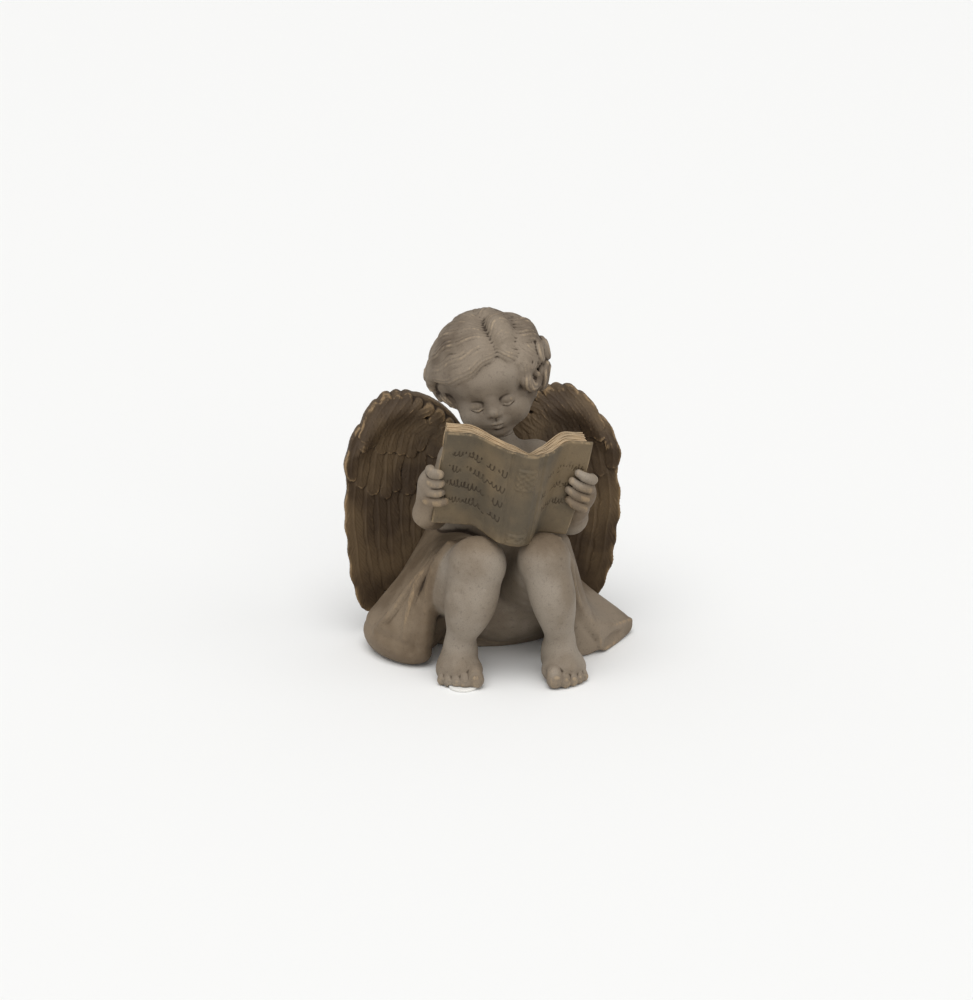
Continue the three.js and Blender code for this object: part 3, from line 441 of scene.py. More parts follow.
# %% [markdown]
# ## Limbs
#
# Chubby limbs are rolls that swell and narrow. A subdivided cage could give them as well, but the rolls
# take their sizes straight from the joints: hip, knee, calf and ankle. Each toe is a roll of its own,
# pressed into its neighbours, with a small nail laid on its tip.

# %% Limbs
RIGHT = dict(
    side=-1, hip=vec(-22, 18, 40), knee=vec(-18, -65, 84.5), calf=vec(-23, -66, 58), ankle=vec(-29, -59, 29),
    knee_size=19, toe_out=8, shoulder=vec(-20, 8, 140), elbow=vec(-43, -20, 110), wrist=vec(-50, -44, 117),
    under_thigh=[vec(-27, -5, 48), vec(-29.5, -42, 57), vec(-24, -61, 71)],
)
LEFT = dict(
    side=1, hip=vec(26, 16, 42), knee=vec(27, -73, 89), calf=vec(33, -76, 62), ankle=vec(40, -69, 29),
    knee_size=17, toe_out=6, shoulder=vec(37, 6, 138), elbow=vec(56, -24, 102), wrist=vec(55, -46, 116),
)
TOES = [  # outwards, forwards, radius
    [-10, 23, 6], [-3, 24, 4.4], [3, 22.5, 4.1], [8.4, 20, 3.8], [13, 16.5, 3.5]
]


print("limbs: knees at", RIGHT["knee"], LEFT["knee"])

# %% Trunk, arms and legs
def sculpt_torso(clay):
    clay.add(ball(vec(4, 24, 88), [36, 30, 50], (6, 0, 0)), 0)  # trunk
    clay.add(ball(vec(9, 10, 132), [33, 21, 20]), 12)  # chest and shoulders
    clay.add(roll([vec(9, 10, 146), vec(2, -2, 168)], [15, 14]), 8)  # neck


def sculpt_arm(clay, arm):
    clay.add(ball(arm["shoulder"], [13, 13, 12]), 8)
    clay.add(roll([arm["shoulder"], arm["elbow"]], [11.5, 12]), 5)  # upper arm
    clay.add(roll([arm["elbow"], arm["wrist"]], [12, 8.5]), 4)  # forearm


def sculpt_leg(clay, leg):
    side, knee, ankle, size = leg["side"], leg["knee"], leg["ankle"], leg["knee_size"]
    belly = lerp(leg["hip"], knee, 0.55) + vec(side * 4, 0, -2)
    clay.add(curved_roll([leg["hip"], belly, knee], [28, 24, size], 20), 4)  # thigh
    if "under_thigh" in leg:
        clay.add(curved_roll(leg["under_thigh"], [20, 16.5, 13], 16), 5)
    clay.add(ball(knee + vec(0, -1, 2), [size, size - 1, size - 1]), 5)
    clay.add(curved_roll([knee, leg["calf"], ankle], [size - 1, size - 1, 9.6], 24), 3)  # shin and calf
    sculpt_foot(clay, leg)


def sculpt_foot(clay, leg):
    side, ankle = leg["side"], leg["ankle"]
    angle = math.radians(leg["toe_out"])
    out = vec(math.sin(angle) * side, -math.cos(angle), 0)
    across = vec(-out[1], out[0], 0) * side

    def sole(forward, outward, z):
        """A place on the foot, measured from under its ankle."""
        return vec(ankle[0], ankle[1], z) + out * forward + across * outward

    clay.add(curved_roll([ankle, sole(-3, 0, 19), sole(-5, 0, 11)], [9.4, 10.4, 11.6], 12), 4)  # ankle
    clay.add(roll([sole(-2, 0, 19), sole(10, 1, 10.5)], [11.5, 10.5]), 6)  # instep
    clay.add(ball(sole(1, 5, 10), [11, 12, 10]), 5)  # outer ankle and heel
    clay.add(roll([sole(8, -7, 8.5), sole(6, 9, 7.5)], [8.6, 7.8]), 5)  # ball of the foot
    for outward, forward, radius in TOES:
        root, bend = sole(forward - 13, outward * 0.85, 11), sole(forward - 6, outward * 0.96, radius + 3.6)
        tip = sole(forward - 2.8, outward, radius)
        clay.add(curved_roll([root, bend, tip], [radius * 0.86, radius * 0.9, radius], 12), 0.5)
    for outward, forward, radius in TOES:
        nail = sole(forward - 2.4, outward, radius) + out * radius * 0.66 + vec(0, 0, radius * 0.56)
        clay.add(ball(nail, [radius * 0.42, radius * 0.3, radius * 0.26]), 0.2)


print(len(TOES), "toes on each foot")

# %% [markdown]
# ## Robe
#
# The cloth is wrapped round the seat and falls to the ground, with a bare leg on each side of its
# opening, and it ends in a far fold that lies on the ground beside the figure. A cloth simulation would
# fall differently each time a size changed, and this cloth is only the sculptor's idea of cloth. So each
# line of it runs from the lap to the hem, rolls between the lines make one sheet, soft valleys are drawn
# into it, and thin rolls along its edges make the turned hems.

# %% Robe
SKIRT = [  # three places down each line, and the radius at the hem
    [[-35, -38, 82], [-47, -37, 52], [-52, -34, 10], 6],
    [[-31, -30, 78], [-51, -32, 46], [-62, -27, 12], 10],
    [[-29, -6, 73], [-53, -12, 43], [-73, -5, 14], 13.5],
    [[-28, 18, 70], [-50, 12, 44], [-70, 18, 14], 14],
    [[-28, 38, 78], [-44, 40, 42], [-56, 44, 12], 12],
    [[-12, 46, 84], [-20, 50, 44], [-25, 58, 10], 11],
    [[14, 46, 84], [22, 50, 44], [28, 58, 10], 11],
    [[38, 34, 86], [50, 40, 46], [60, 46, 12], 12],
    [[46, 18, 66], [64, 24, 34], [84, 22, 12], 10],
    [[50, -4, 56], [76, 5, 27], [105, 5, 6.5], 4.5],
    [[50, -30, 60], [72, -18, 25], [95, -13, 7], 6],
    [[46, -52, 86], [60, -42, 36], [81, -30, 8], 6.5],
]
FLAP = [
    [[42, -48, 90], [49, -47, 56], [57, -36, 8], 6],
    [[45, -42, 90], [55, -40, 48], [69, -29, 7], 6.5],
]
RIDGES = [  # turned edges and narrow folds, each with its radius
    [[-33, -43, 92], [-42, -43, 80], [-48, -42, 62], [-51, -41, 40], [-53, -38, 14], 4],
    [[-42, -37, 82], [-54, -37, 66], [-61, -37, 48], [-64, -34, 26], [-66, -30, 14], 3],
    [[-40, -18, 77], [-58, -24, 57], [-73, -22, 36], [-82, -13, 21], 2.8],
    [[40, -60, 98], [48, -60, 82], [52, -57, 62], [61, -47, 38], [80, -33, 15], 2.4],
    [[80, -34, 15], [95, -16, 13.5], [108, 3, 9.5], 2],
]
VALLEYS = [  # hollows drawn down the cloth, each with its radius
    [[44, -62, 80], [49, -61, 60], [57, -53, 36], [73, -41, 12], 1.6],
    [[-50, -46, 82], [-57, -45, 60], [-60, -44, 36], [-61, -42, 14], 2.2],
    [[-62, -38, 66], [-68, -38, 46], [-73, -36, 24], 2.2],
    [[-46, 46, 74], [-58, 50, 40], [-68, 56, 10], 4],
    [[-18, 60, 74], [-24, 64, 40], [-36, 72, 8], 4],
    [[0, 62, 76], [1, 66, 40], [2, 74, 8], 4],
    [[22, 60, 74], [28, 64, 40], [40, 72, 8], 4],
    [[48, 44, 74], [60, 48, 40], [72, 56, 10], 4],
]
MOUTH_AT, MOUTH_FACING = vec(88.5, -24.5, 7.5), vec(0.766, -0.643, 0)  # the cut end of the far fold
CLOTH_MIDDLE = (4, 14)  # the folds fan out from here
FOLD_DEPTH, HEM_HEIGHT, BACK_SINK = 1.15, 18.5, 1.7  # the back is sunk to stay within the solid's reach
print(len(SKIRT), "lines of cloth round the seat,", len(FLAP), "in the flap")

# %% Draping
def drape(clay, folds):
    """Lays rolls side by side, three for each line of cloth, so that they close into a sheet."""
    lines = [[vec(*fold[k]) for fold in folds] for k in range(3)]
    count = (len(folds) - 1) * 3
    for n in range(count + 1):
        hem = eased([fold[3] for fold in folds], n / count)
        points = [through(line, n / count) for line in lines]
        clay.add(curved_roll(points, [hem * 0.7, hem * 0.85, hem], 12), 7)


def work_cloth(clay):
    """Soft folds that deepen towards the ground, and the crease where the hem is turned under."""
    where, (x, y, z) = clay.window(clay.low, (200, 200, 100))
    bearing = np.arctan2(y - CLOTH_MIDDLE[1], x - CLOTH_MIDDLE[0])
    away = np.hypot(x - CLOTH_MIDDLE[0], y - CLOTH_MIDDLE[1])
    fall = smooth(92 - z, 0, 60) * smooth(away, 30, 52)
    folds = np.sin(7 * bearing + 1.3 * np.sin(3 * bearing) + 0.016 * z)
    folds = folds + 0.45 * np.sin(17 * bearing + 0.03 * z)
    front = smooth(y, -30, 10) * 0.7 + 0.3
    hem = HEM_HEIGHT + 2.5 * np.sin(4 * bearing + 1) + 1.5 * np.sin(9 * bearing)
    crease = 0.7 * np.exp(-(((z - hem) / 2.6) ** 2)) - 0.5 * np.exp(-(((z - hem - 5) / 3) ** 2))
    crease = crease * smooth(away, 40, 56) * (1 - smooth(x, 30, 50) * smooth(-y, -30, -14))
    worked = (FOLD_DEPTH * fall * front * folds + crease) * (1 - smooth(x, 56, 80))
    worked = worked + BACK_SINK * smooth(y, 30, 62)
    clay.field[where] += worked.astype(np.float32)


def end_far_fold(clay):
    """Cuts the far fold off square and sinks the lens-shaped end a little inside its rim."""
    where, (x, y, z) = clay.window((76, -60, -10), (124, 40, 40))
    past = (x - MOUTH_AT[0]) * MOUTH_FACING[0] + (y - MOUTH_AT[1]) * MOUTH_FACING[1]
    clay.field[where] = -blended(-clay.field[where], -past, 1.2)
    clay.cut(ball(MOUTH_AT + 0.6 * MOUTH_FACING, [16, 3.4, 4.4], (0, 0, 50)), 1.2)


def sculpt_robe(clay):
    clay.add(ball(vec(5, 28, 14), [56, 36, 56]), 0)  # seat
    clay.add(curved_roll([vec(-24, -6, 70), vec(-38, -8, 44), vec(-52, -4, 20)], [16, 19, 20], 10), 8)
    clay.add(ball(vec(14, 10, 31), [44, 36, 32]), 6)  # what shows between the shins
    clay.add(roll([vec(2, 14, 20), vec(34, 12, 20)], [19, 19]), 8)
    drape(clay, SKIRT)
    drape(clay, FLAP)
    work_cloth(clay)
    for *line, width in RIDGES:
        clay.add(curved_roll([vec(*p) for p in line], [width] * len(line), 16), 1.6)
    for *line, width in VALLEYS:
        clay.cut(curved_roll([vec(*p) for p in line], [width * 0.7, width, width * 1.2], 16), 1.5 + width)
    end_far_fold(clay)
    # cloth over the two thighs
    clay.add(roll([vec(-20, 10, 56), vec(-21, -38, 75)], [27, 20]), 6)
    clay.add(roll([vec(26, 10, 60), vec(28, -46, 80)], [30, 18]), 6)


print(len(RIDGES), "ridges and", len(VALLEYS), "valleys in the cloth")

# %% [markdown]
# ## Wings
#
# A wing is a cupped sheet covered with feathers in five tiers, each tier lying over the one below: long
# flight feathers, two rows of coverts and two rows of small feathers up the wing's arm. Feathers could be
# placed one by one as thin meshes, but a cast wing has no gaps between them. All the carving is relief on
# the sheet, so it is worked out once on a flat map of the wing and then wrapped, with barbs and quills in
# it.

# %% Wings
WING_BACK, WING_SHEET = 44.0, 2.6  # how far back a wing starts, and half its thickness
WING_ARM = {  # outwards and up, from the shoulder to the bend
    -1: [[14, 122], [22, 152], [46, 170], [68, 164], [87, 142]],
    1: [[14, 106], [31, 138], [50, 163], [72, 164], [92, 140]],
}
WING_ARM_RADII = [10, 10.5, 9.5, 8, 4.5]
WING_SPREAD = {-1: 1.0, 1: 1.03}
TIER_HEIGHT = [1.0, 2.9, 4.5, 5.0, 5.4]
BARB_DEPTH, SPLIT_DEPTH, QUILL_HEIGHT = 0.24, 0.7, 0.5
FRONT_RELIEF, BACK_RELIEF = (0.8, 0.8), (0.6, 0.25)  # share of the feathers' height and of the arm's lift
SHEET_SLOPE = 1.25  # relief makes the distance too steep; this brings it back
ARM_STEPS = 40


def wing_depth(m, z):
    """How far back the sheet is, m outwards and z up: it cups forward at its outer side."""
    cup = np.maximum(0, m - 38)
    return WING_BACK + 0.06 * (m - 15) - 0.0072 * cup * cup + 0.04 * np.maximum(0, 90 - z)


def tier(count, level, shape):
    """A row of feathers, shaped by how far out each one is, from 0 to 1."""
    return [dict(level=level, **shape(n / (count - 1))) for n in range(count)]


FEATHERS = [
    *tier(8, 0, lambda f: dict(
        root=(lerp(26, 89, f), lerp(122, 138, f)),
        tip=(lerp(30, 80, f), lerp(58, 16, f)), half=6.6, bow=7 * f)),
    *tier(9, 1, lambda f: dict(
        root=(lerp(24, 86, f), lerp(140, 156, f)),
        tip=(lerp(26, 94, f), lerp(108, 122, f) - 24 * math.sin(math.pi * f) * f), half=5.8, bow=3 * f)),
    *tier(9, 2, lambda f: dict(
        root=(lerp(24, 74, f), lerp(156, 166, f)),
        tip=(lerp(27, 88, f), lerp(133, 144, f) - 5 * math.sin(math.pi * f)), half=5.4, bow=2 * f)),
    *tier(9, 3, lambda f: dict(
        root=(lerp(20, 74, f), lerp(150, 172, f)),
        tip=(lerp(26, 86, f), lerp(144, 150, f) + 4 * math.sin(math.pi * f)), half=4.8, bow=f)),
    *tier(8, 4, lambda f: dict(
        root=(lerp(14, 66, f), lerp(150, 178, f) + 8 * math.sin(math.pi * f)),
        tip=(lerp(22, 80, f), lerp(150, 156, f) + 10 * math.sin(math.pi * f)), half=4.6, bow=f)),
]
print(len(FEATHERS), "feathers on each wing")

# %% A map of the feathers
def feather_map(m, z):
    """The outline of the whole wing and the height of its carving, over a grid of places on the sheet."""
    outline = np.full(m.shape, FAR, np.float32)
    relief = np.zeros(m.shape, np.float32)
    for n, feather in enumerate(FEATHERS):
        (rm, rz), (tm, tz), half = feather["root"], feather["tip"], feather["half"]
        level = feather["level"]
        sway = (2.6 if level < 3 else 1.4) * math.sin(2.7 * n) if level else 0
        tm, tz, half = tm + 0.5 * sway, tz + 1.1 * sway, half * (1 + 0.1 * math.sin(1.9 * n))
        # places along the feather, from its root, and across it, from its bowed quill
        length = math.hypot(tm - rm, tz - rz)
        um, uz = (tm - rm) / length, (tz - rz) / length
        along = ((m - rm) * um + (z - rz) * uz) / length
        run = along * length
        t = np.clip(along, 0, 1)
        across = (m - rm) * -uz + (z - rz) * um - feather["bow"] * 4 * t * (1 - t)
        across = across + 0.5 * np.sin(run * 0.13 + 1.7 * n)
        # its outline, a little frayed
        past = np.maximum(0, along - (1 - 1.15 * half / length)) * length
        before = np.maximum(0, -along) * length
        fray = 0.55 * np.sin(run * 0.33 + n) + 0.08 * np.sin(run * 2.3 + 2 * n)
        fray = fray + 0.8 * np.maximum(0, np.sin(across * 1.3 + 2 * n)) * smooth(past, 0.3, half)
        distance = np.sqrt(across**2 + past**2 + before**2) - half
        distance = distance + fray * smooth(np.abs(across) + past, 2, half)
        # its height: a crown that leans, barbs cut across it, a split or two, and the quill
        across = across / half
        off_centre = np.abs(across)
        crown = (1 - 0.18 * level) * (0.5 * (1 - across * across) - 0.8 * across)
        slant = run / 1.3 - off_centre * half * 1.5
        barbs = 0.5 + 0.5 * np.sin(slant * 2.1 + 1.2 * np.sin(slant * 0.31 + n) + 0.9 * np.sin(slant * 0.83))
        cut = BARB_DEPTH * barbs**2 * smooth(off_centre, 0.1, 0.35) * (1 - smooth(off_centre, 0.7, 0.95))
        split = SPLIT_DEPTH * np.exp(-(((np.sin(slant * 0.17 + 2.1 * n) + 0.25) / 0.1) ** 2))
        split = split * smooth(off_centre, 0.3, 0.9)
        quill = QUILL_HEIGHT * np.exp(-((across / 0.09) ** 2)) * (1 - smooth(along, 0.6, 0.95))
        height = TIER_HEIGHT[level] + crown - cut - split + quill
        edge = smooth(distance, -1.1, 0.5)
        relief = np.maximum(relief, height * (1 - edge) - FAR * (distance > 5))
        outline = np.minimum(outline, distance)
    return outline, np.maximum(relief, 0)


print("feathers from", round(min(f["tip"][1] for f in FEATHERS)), "mm above the ground")

# %% The wing's arm and its sheet
def arm_map(side, m, z):
    """How near a place is to the wing's arm, and how far the arm lifts the feathers there."""
    line = [vec(*p) for p in WING_ARM[side]]
    steps = [k / ARM_STEPS for k in range(ARM_STEPS + 1)]
    distance = np.full(m.shape, FAR, np.float32)
    lift = np.zeros(m.shape, np.float32)
    for t in steps:
        (am, az), radius = through(line, t), eased(WING_ARM_RADII, t)
        away = np.hypot(m - am, z - az)
        distance = np.minimum(distance, away - radius)
        lift = np.maximum(lift, radius * np.exp(-((away / (1.15 * radius)) ** 2)))
    return distance, lift


def wing_sheet(side):
    """The sheet as a lump: its two faces carry the relief, and the outline ends it."""
    def measure(clay, reach):
        low = vec(0 if side > 0 else -108, 3, 2) - reach
        high = vec(108 if side > 0 else 0, 66, 190) + reach
        where, (x, y, z) = clay.window(low, high)
        m, up = np.meshgrid((x * side)[:, 0, 0], z[0, 0, :], indexing="ij")
        outline, relief = feather_map(m / WING_SPREAD[side], up)
        arm, lift = arm_map(side, m, up)
        outline = blended(outline, arm, 3)
        d = y - wing_depth(m, up)[:, None, :]
        front, back = ((a * relief + b * lift)[:, None, :] for a, b in (FRONT_RELIEF, BACK_RELIEF))
        sheet = np.maximum(-d - WING_SHEET - front, d - WING_SHEET - back) / SHEET_SLOPE
        return where, np.maximum(sheet, outline[:, None, :])

    return measure


print("wing sheet", 2 * WING_SHEET, "mm thick before its relief")

# %% [markdown]
# ## Book
#
# The book lies open with its covers towards the viewer. It is built flat, in its own directions: across,
# from the cover to the pages, and up the spine. A bend modifier gives one arc, and this book has two,
# which close towards the foot. So one function bends everything, and the boards, leaves, spine bands and
# the fingers on the covers all follow the same curve.

# %% The bend of the book
BOOK = dict(spine=8.5, height=69, cover=(54, 48), rise=24, board=2.2, gutter=9, pages=21)
BOOK_AT, BOOK_TURN = vec(9, -88, 137), (11, 7, 0)
book_matrix = turned(*BOOK_TURN)
CURVE_ENDS = (0.66, 0.42)  # share of a cover that curves, at its head and at its foot
FOOT_NARROWING, SPINE_BULGE = 0.2, 3


def on_book(a, b, c):
    """Where a place on the flat book, a across, b deep and c up, comes to lie."""
    a, b, c = (np.asarray(v, float) for v in (a, b, c))
    spine, height, rise = BOOK["spine"], BOOK["height"], BOOK["rise"]
    low = np.clip(0.5 - c / height, 0, 1)
    out = np.maximum(0, np.abs(a) - spine)
    reach = np.where(a < 0, BOOK["cover"][0], BOOK["cover"][1]) - spine
    fold = smooth(out / reach, 0, lerp(*CURVE_ENDS, low))
    bulge = SPINE_BULGE * np.maximum(0, 1 - (a / spine) ** 2)
    narrow = np.where(a > spine, 1 - FOOT_NARROWING * low * low, 1)
    bent = np.stack(np.broadcast_arrays(
        np.sign(a) * (np.minimum(np.abs(a), spine) + out * narrow), b - bulge + rise * fold * narrow, c), -1)
    return bent @ book_matrix.T + BOOK_AT


print("book", BOOK["cover"][0] + BOOK["cover"][1], "mm across the covers and", BOOK["height"], "mm high")

# %% [markdown]
# ## Hands
#
# Each hand holds the edge of a cover: the palm is behind it and four short fingers lie on its face. The
# fingers are placed on the flat book and bent with it, so that they stay on the cover whatever its curve.

# %% Hands
GRIPS = {  # for each side, heights along the cover's edge and how far each finger reaches over it
    -1: dict(palm=-8, top=5, slant=0.1, reaches=[0, 1.5, 2.5, 6]),
    1: dict(palm=-6, top=11, slant=0.5, reaches=[7, 10, 11, 9]),
}
FINGER_STEP = 7
FINGER_RADII = [3.5, 3.6, 3.3, 2.7]


def sculpt_hand(clay, arm):
    side = arm["side"]
    grip, cover = GRIPS[side], BOOK["cover"][0 if side < 0 else 1]
    heel = on_book(side * (cover + 4), 6, grip["palm"])
    clay.add(roll([arm["wrist"], heel], [8.5, 8.5]), 5)
    clay.add(ball(heel, [7, 9, 12]), 4)
    for n, reach in enumerate(grip["reaches"]):
        c = grip["top"] - n * FINGER_STEP
        slant = grip["slant"]
        points = [
            on_book(side * (cover + 6), 5, c - slant * 10),
            on_book(side * (cover + 5), -1, c - slant * 6),
            on_book(side * (cover - reach / 2 + 1), -3.2, c),
            on_book(side * (cover - reach), -2.6, c + slant * reach * 0.6),
        ]
        clay.add(curved_roll(points, FINGER_RADII, 16), 0.7)


print("fingers:", sum(len(grip["reaches"]) for grip in GRIPS.values()))

# %% [markdown]
# ## Meshing the clay
#
# The skin is where the distance is nought. OpenVDB's mesher finds it and lets flat places have larger
# faces. A Remesh modifier does much the same, but it needs a mesh to start from. The figure is meshed as
# a head, two wings and a body, so that each keeps enough faces for its carving.
#
# The finish needs to know what is hollow and what stands out. Blurring the clay's grid answers that: on a
# flat place the blurred distance stays nought, in a hollow it turns negative and on a ridge positive.
# Three blurs, fine, middling and wide, are kept on the mesh as a colour attribute called carving. They
# are read from the clay before it was cut level, so that the neck shows no line where head and body meet.

# %% Meshing
MOST_FACES = 190_000
BLUR_REACHES = (0.8, 2.2, 6.5)  # fine, middling and wide, in millimetres
BLUR_LIMIT = 8  # distances past this say nothing of the skin


def skin(clay, fineness):
    """The points, triangles and quads where the clay's distance is nought."""
    grid = openvdb.FloatGrid(background=FAR)
    grid.copyFromArray(np.ascontiguousarray(clay.field))
    points, triangles, quads = grid.convertToPolygons(isovalue=0.0, adaptivity=fineness)
    return points.astype(float) * clay.pitch + clay.low, triangles, quads


def volume(points, faces):
    a, b, c = (points[faces[:, k]] for k in range(3))
    return np.einsum("ij,ij->i", a, np.cross(b, c)).sum() / 6


def largest_body(points, faces):
    """Drops loose crumbs: keeps the faces joined to the largest body."""
    label = np.arange(len(points))
    while True:
        low = np.minimum.reduce([label[faces[:, k]] for k in range(3)])
        new = label.copy()
        for k in range(3):
            np.minimum.at(new, faces[:, k], low)
        new = new[new]
        if (new == label).all():
            break
        label = new
    values, counts = np.unique(label[faces[:, 0]], return_counts=True)
    faces = faces[label[faces[:, 0]] == values[counts.argmax()]]
    used = np.unique(faces)
    number = np.zeros(len(points), int)
    number[used] = np.arange(len(used))
    return points[used], number[faces]


def to_frame(points):
    return (points + SHIFT) / 1000


def in_scene(name, data):
    made = bpy.data.objects.new(name, data)
    bpy.context.scene.collection.objects.link(made)
    return made


def mesh_object(name, points, faces):
    """A smooth mesh from arrays, which is far quicker than a list of faces."""
    mesh = bpy.data.meshes.new(name)
    mesh.vertices.add(len(points))
    mesh.vertices.foreach_set("co", to_frame(points).astype(np.float32).ravel())
    mesh.loops.add(faces.size)
    mesh.loops.foreach_set("vertex_index", faces.astype(np.int32).ravel())
    mesh.polygons.add(len(faces))
    mesh.polygons.foreach_set("loop_start", np.arange(0, faces.size, faces.shape[1], dtype=np.int32))
    mesh.update(calc_edges=True)
    mesh.shade_smooth()
    return in_scene(name, mesh)


def settled(made):
    """Turns what the modifiers make into a plain mesh."""
    mesh = bpy.data.meshes.new_from_object(made.evaluated_get(bpy.context.evaluated_depsgraph_get()))
    made.modifiers.clear()
    made.data = mesh
    return made


def vertices(made):
    flat = np.zeros(len(made.data.vertices) * 3, np.float32)
    made.data.vertices.foreach_get("co", flat)
    return flat.reshape(-1, 3).astype(float)


def places(made):
    """A mesh's vertices in the figure's own millimetres."""
    return vertices(made) * 1000 - SHIFT


print("at most", MOST_FACES, "faces a piece")

# %% Hollows and ridges
def box_blur(field, cells):
    """Each cell becomes the mean of its neighbours, along one axis after another."""
    for axis in range(3):
        field = np.moveaxis(field, axis, 0)
        padded = np.concatenate([field[:1]] * (cells + 1) + [field] + [field[-1:]] * cells)
        total = np.cumsum(padded, axis=0, dtype=np.float32)
        field = (total[2 * cells + 1 :] - total[: -2 * cells - 1]) / (2 * cells + 1)
        field = np.moveaxis(field, 0, axis)
    return field


def read_field(clay, field, points):
    """The field's value at points between its cells."""
    at = (points - clay.low) / clay.pitch
    base = np.clip(np.floor(at).astype(int), 0, np.array(field.shape) - 2)
    w = at - base
    value = 0
    for i, j, k in np.ndindex(2, 2, 2):
        weight = abs(1 - i - w[:, 0]) * abs(1 - j - w[:, 1]) * abs(1 - k - w[:, 2])
        value = value + weight * field[base[:, 0] + i, base[:, 1] + j, base[:, 2] + k]
    return value


def set_attribute(made, name, values):
    """One number or one colour at each vertex."""
    kind = "FLOAT" if values.ndim == 1 else "FLOAT_COLOR"
    if values.ndim == 2:
        values = np.concatenate([values, np.ones((len(values), 1))], 1)
    layer = made.data.attributes.new(name, kind, "POINT")
    layer.data.foreach_set("value" if kind == "FLOAT" else "color", values.astype(np.float32).ravel())


def keep_carving(made, clay):
    points = places(made)
    found = []
    for reach in BLUR_REACHES:
        blurred = np.clip(getattr(clay, "whole", clay.field), -BLUR_LIMIT, BLUR_LIMIT)
        cells = max(1, round(reach / clay.pitch))
        for _ in range(2):
            blurred = box_blur(blurred, cells)
        found.append(0.5 + 0.5 * np.clip(read_field(clay, blurred, points) / (0.5 * reach), -1, 1))
    set_attribute(made, "carving", np.stack(found, 1))
    print(made.name, "carving, fine to wide:", [f"{v.min():.2f} to {v.max():.2f}" for v in found])


def clay_object(name, clay, fineness=0.0):
    """Meshes the clay, keeps its largest body, thins it to MOST_FACES and notes its carving."""
    points, triangles, quads = skin(clay, fineness)
    faces = np.concatenate([triangles, quads[:, [0, 1, 2]], quads[:, [0, 2, 3]]]).astype(int)
    if volume(points, faces) < 0:
        faces = faces[:, ::-1]
    points, faces = largest_body(points, faces)
    count = len(faces)
    made = mesh_object(name, points, faces)
    if count > MOST_FACES:
        made.modifiers.new("thin", "DECIMATE").ratio = MOST_FACES / count
        settled(made).data.shade_smooth()
    keep_carving(made, clay)
    print(f"{name}: {count} faces, {len(made.data.polygons)} kept, {time.time() - started:.0f} s")
    return made


print("hollows are read at", BLUR_REACHES, "mm")

# %% [markdown]
# ## The body
#
# The body is worked in the order in which a sculptor would build it: the robe, the trunk, legs, arms and
# hands, then the roots of the wings, and last the round recess for the pad. The robe is browner than the
# skin, so a copy of the clay with the robe alone tells which skin is cloth. The body from about 92 to 146 mm
# up, which is the arms, hands and chest, takes most of the robe's darker paint as painted shade, and one
# attribute keeps both. A vertex paint by hand would do, but it would be lost whenever the shape changed.

# %% The body
BODY_PITCH, HEAD_PITCH, WING_PITCH = ((0.8, 0.5, 0.62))
NECK, OVERLAP = 160.0, 9  # where the head piece meets the body piece, and how far each clay runs past it
GROUND, TOP = 0.0, 300.0
RECESS_RADIUS, RECESS_DEPTH = 10.3, 2.5
BODY_FINENESS = 0.02  # how far the mesher may join flat places

body_clay = Clay((-112, -100, -1.5 * BODY_PITCH), (124, 84, NECK + OVERLAP), BODY_PITCH)
sculpt_robe(body_clay)
robe_field = body_clay.field.copy()
sculpt_torso(body_clay)
for limb in (RIGHT, LEFT):
    sculpt_leg(body_clay, limb)
    sculpt_arm(body_clay, limb)
    sculpt_hand(body_clay, limb)
for side in (-1, 1):
    inner = [vec(side * m, wing_depth(m, z) - 4, z) for m, z in WING_ARM[side][:3]]
    body_clay.add(curved_roll(inner, [9, 8.6, 6], 16), 7)
where, (x, y, z) = body_clay.window(PAD_AT - 14, PAD_AT + 14)
recess = np.maximum(np.hypot(x - PAD_AT[0], y - PAD_AT[1]) - RECESS_RADIUS, z - RECESS_DEPTH)
body_clay.field[where] = np.maximum(body_clay.field[where], -recess)
body_clay.keep_between(GROUND, NECK)
body = clay_object("figure_body", body_clay, BODY_FINENESS)
spots = places(body)
across, up = spots[:, 0], spots[:, 2]
robe_here = 1 - smooth(np.abs(read_field(body_clay, robe_field, spots)), 0.4, 2.5)
robe_here *= 1 - 0.75 * smooth(across, -24, 0) * (1 - 0.6 * smooth(across, 44, 60))  # paler by the legs
# painted shade: the robe's darker paint on everything from about 92 to 146 mm up, arms, hands and chest
arm_shade = 0.85 * smooth(up, 92, 104) * (1 - smooth(up, 130, 146))
set_attribute(body, "robe_and_arm_shade", np.maximum(robe_here, arm_shade))
del body_clay, robe_field

# %% [markdown]
# ## The head
#
# The head has the finest carving, so it has the finest clay. Locks and face are added to the neck of the
# same torso, which makes both pieces agree at the cut. The hair is darker in its depths than the face,
# and again the clay tells where: a place on the hair's own skin is hair. The hair's darker paint also
# reaches the skin within about 13 mm of the hair or of the neck, on the forehead and under the jaw, as
# painted shade.

# %% The head
head_clay = Clay((-56, -62, NECK - OVERLAP), (56, 44, 256), HEAD_PITCH)
sculpt_torso(head_clay)
torso_field = head_clay.field.copy()
sculpt_hair(head_clay)
hair_field = head_clay.field.copy()
sculpt_face(head_clay)
head_clay.keep_between(NECK, TOP)
head = clay_object("figure_head", head_clay)
spots = places(head)
from_hair = read_field(head_clay, hair_field, spots)
# hair paint on the hair itself, and as painted shade on skin within 13 mm of the hair or the neck
hair_and_shade_here = np.maximum(1 - smooth(np.abs(from_hair), 0.1, 0.5), 0.85 * (1 - smooth(from_hair, 0.5, 13)))
hair_and_shade_here *= smooth(read_field(head_clay, torso_field, spots), 0.3, 4)
set_attribute(head, "hair_and_shade", hair_and_shade_here)
del head_clay, hair_field, torso_field

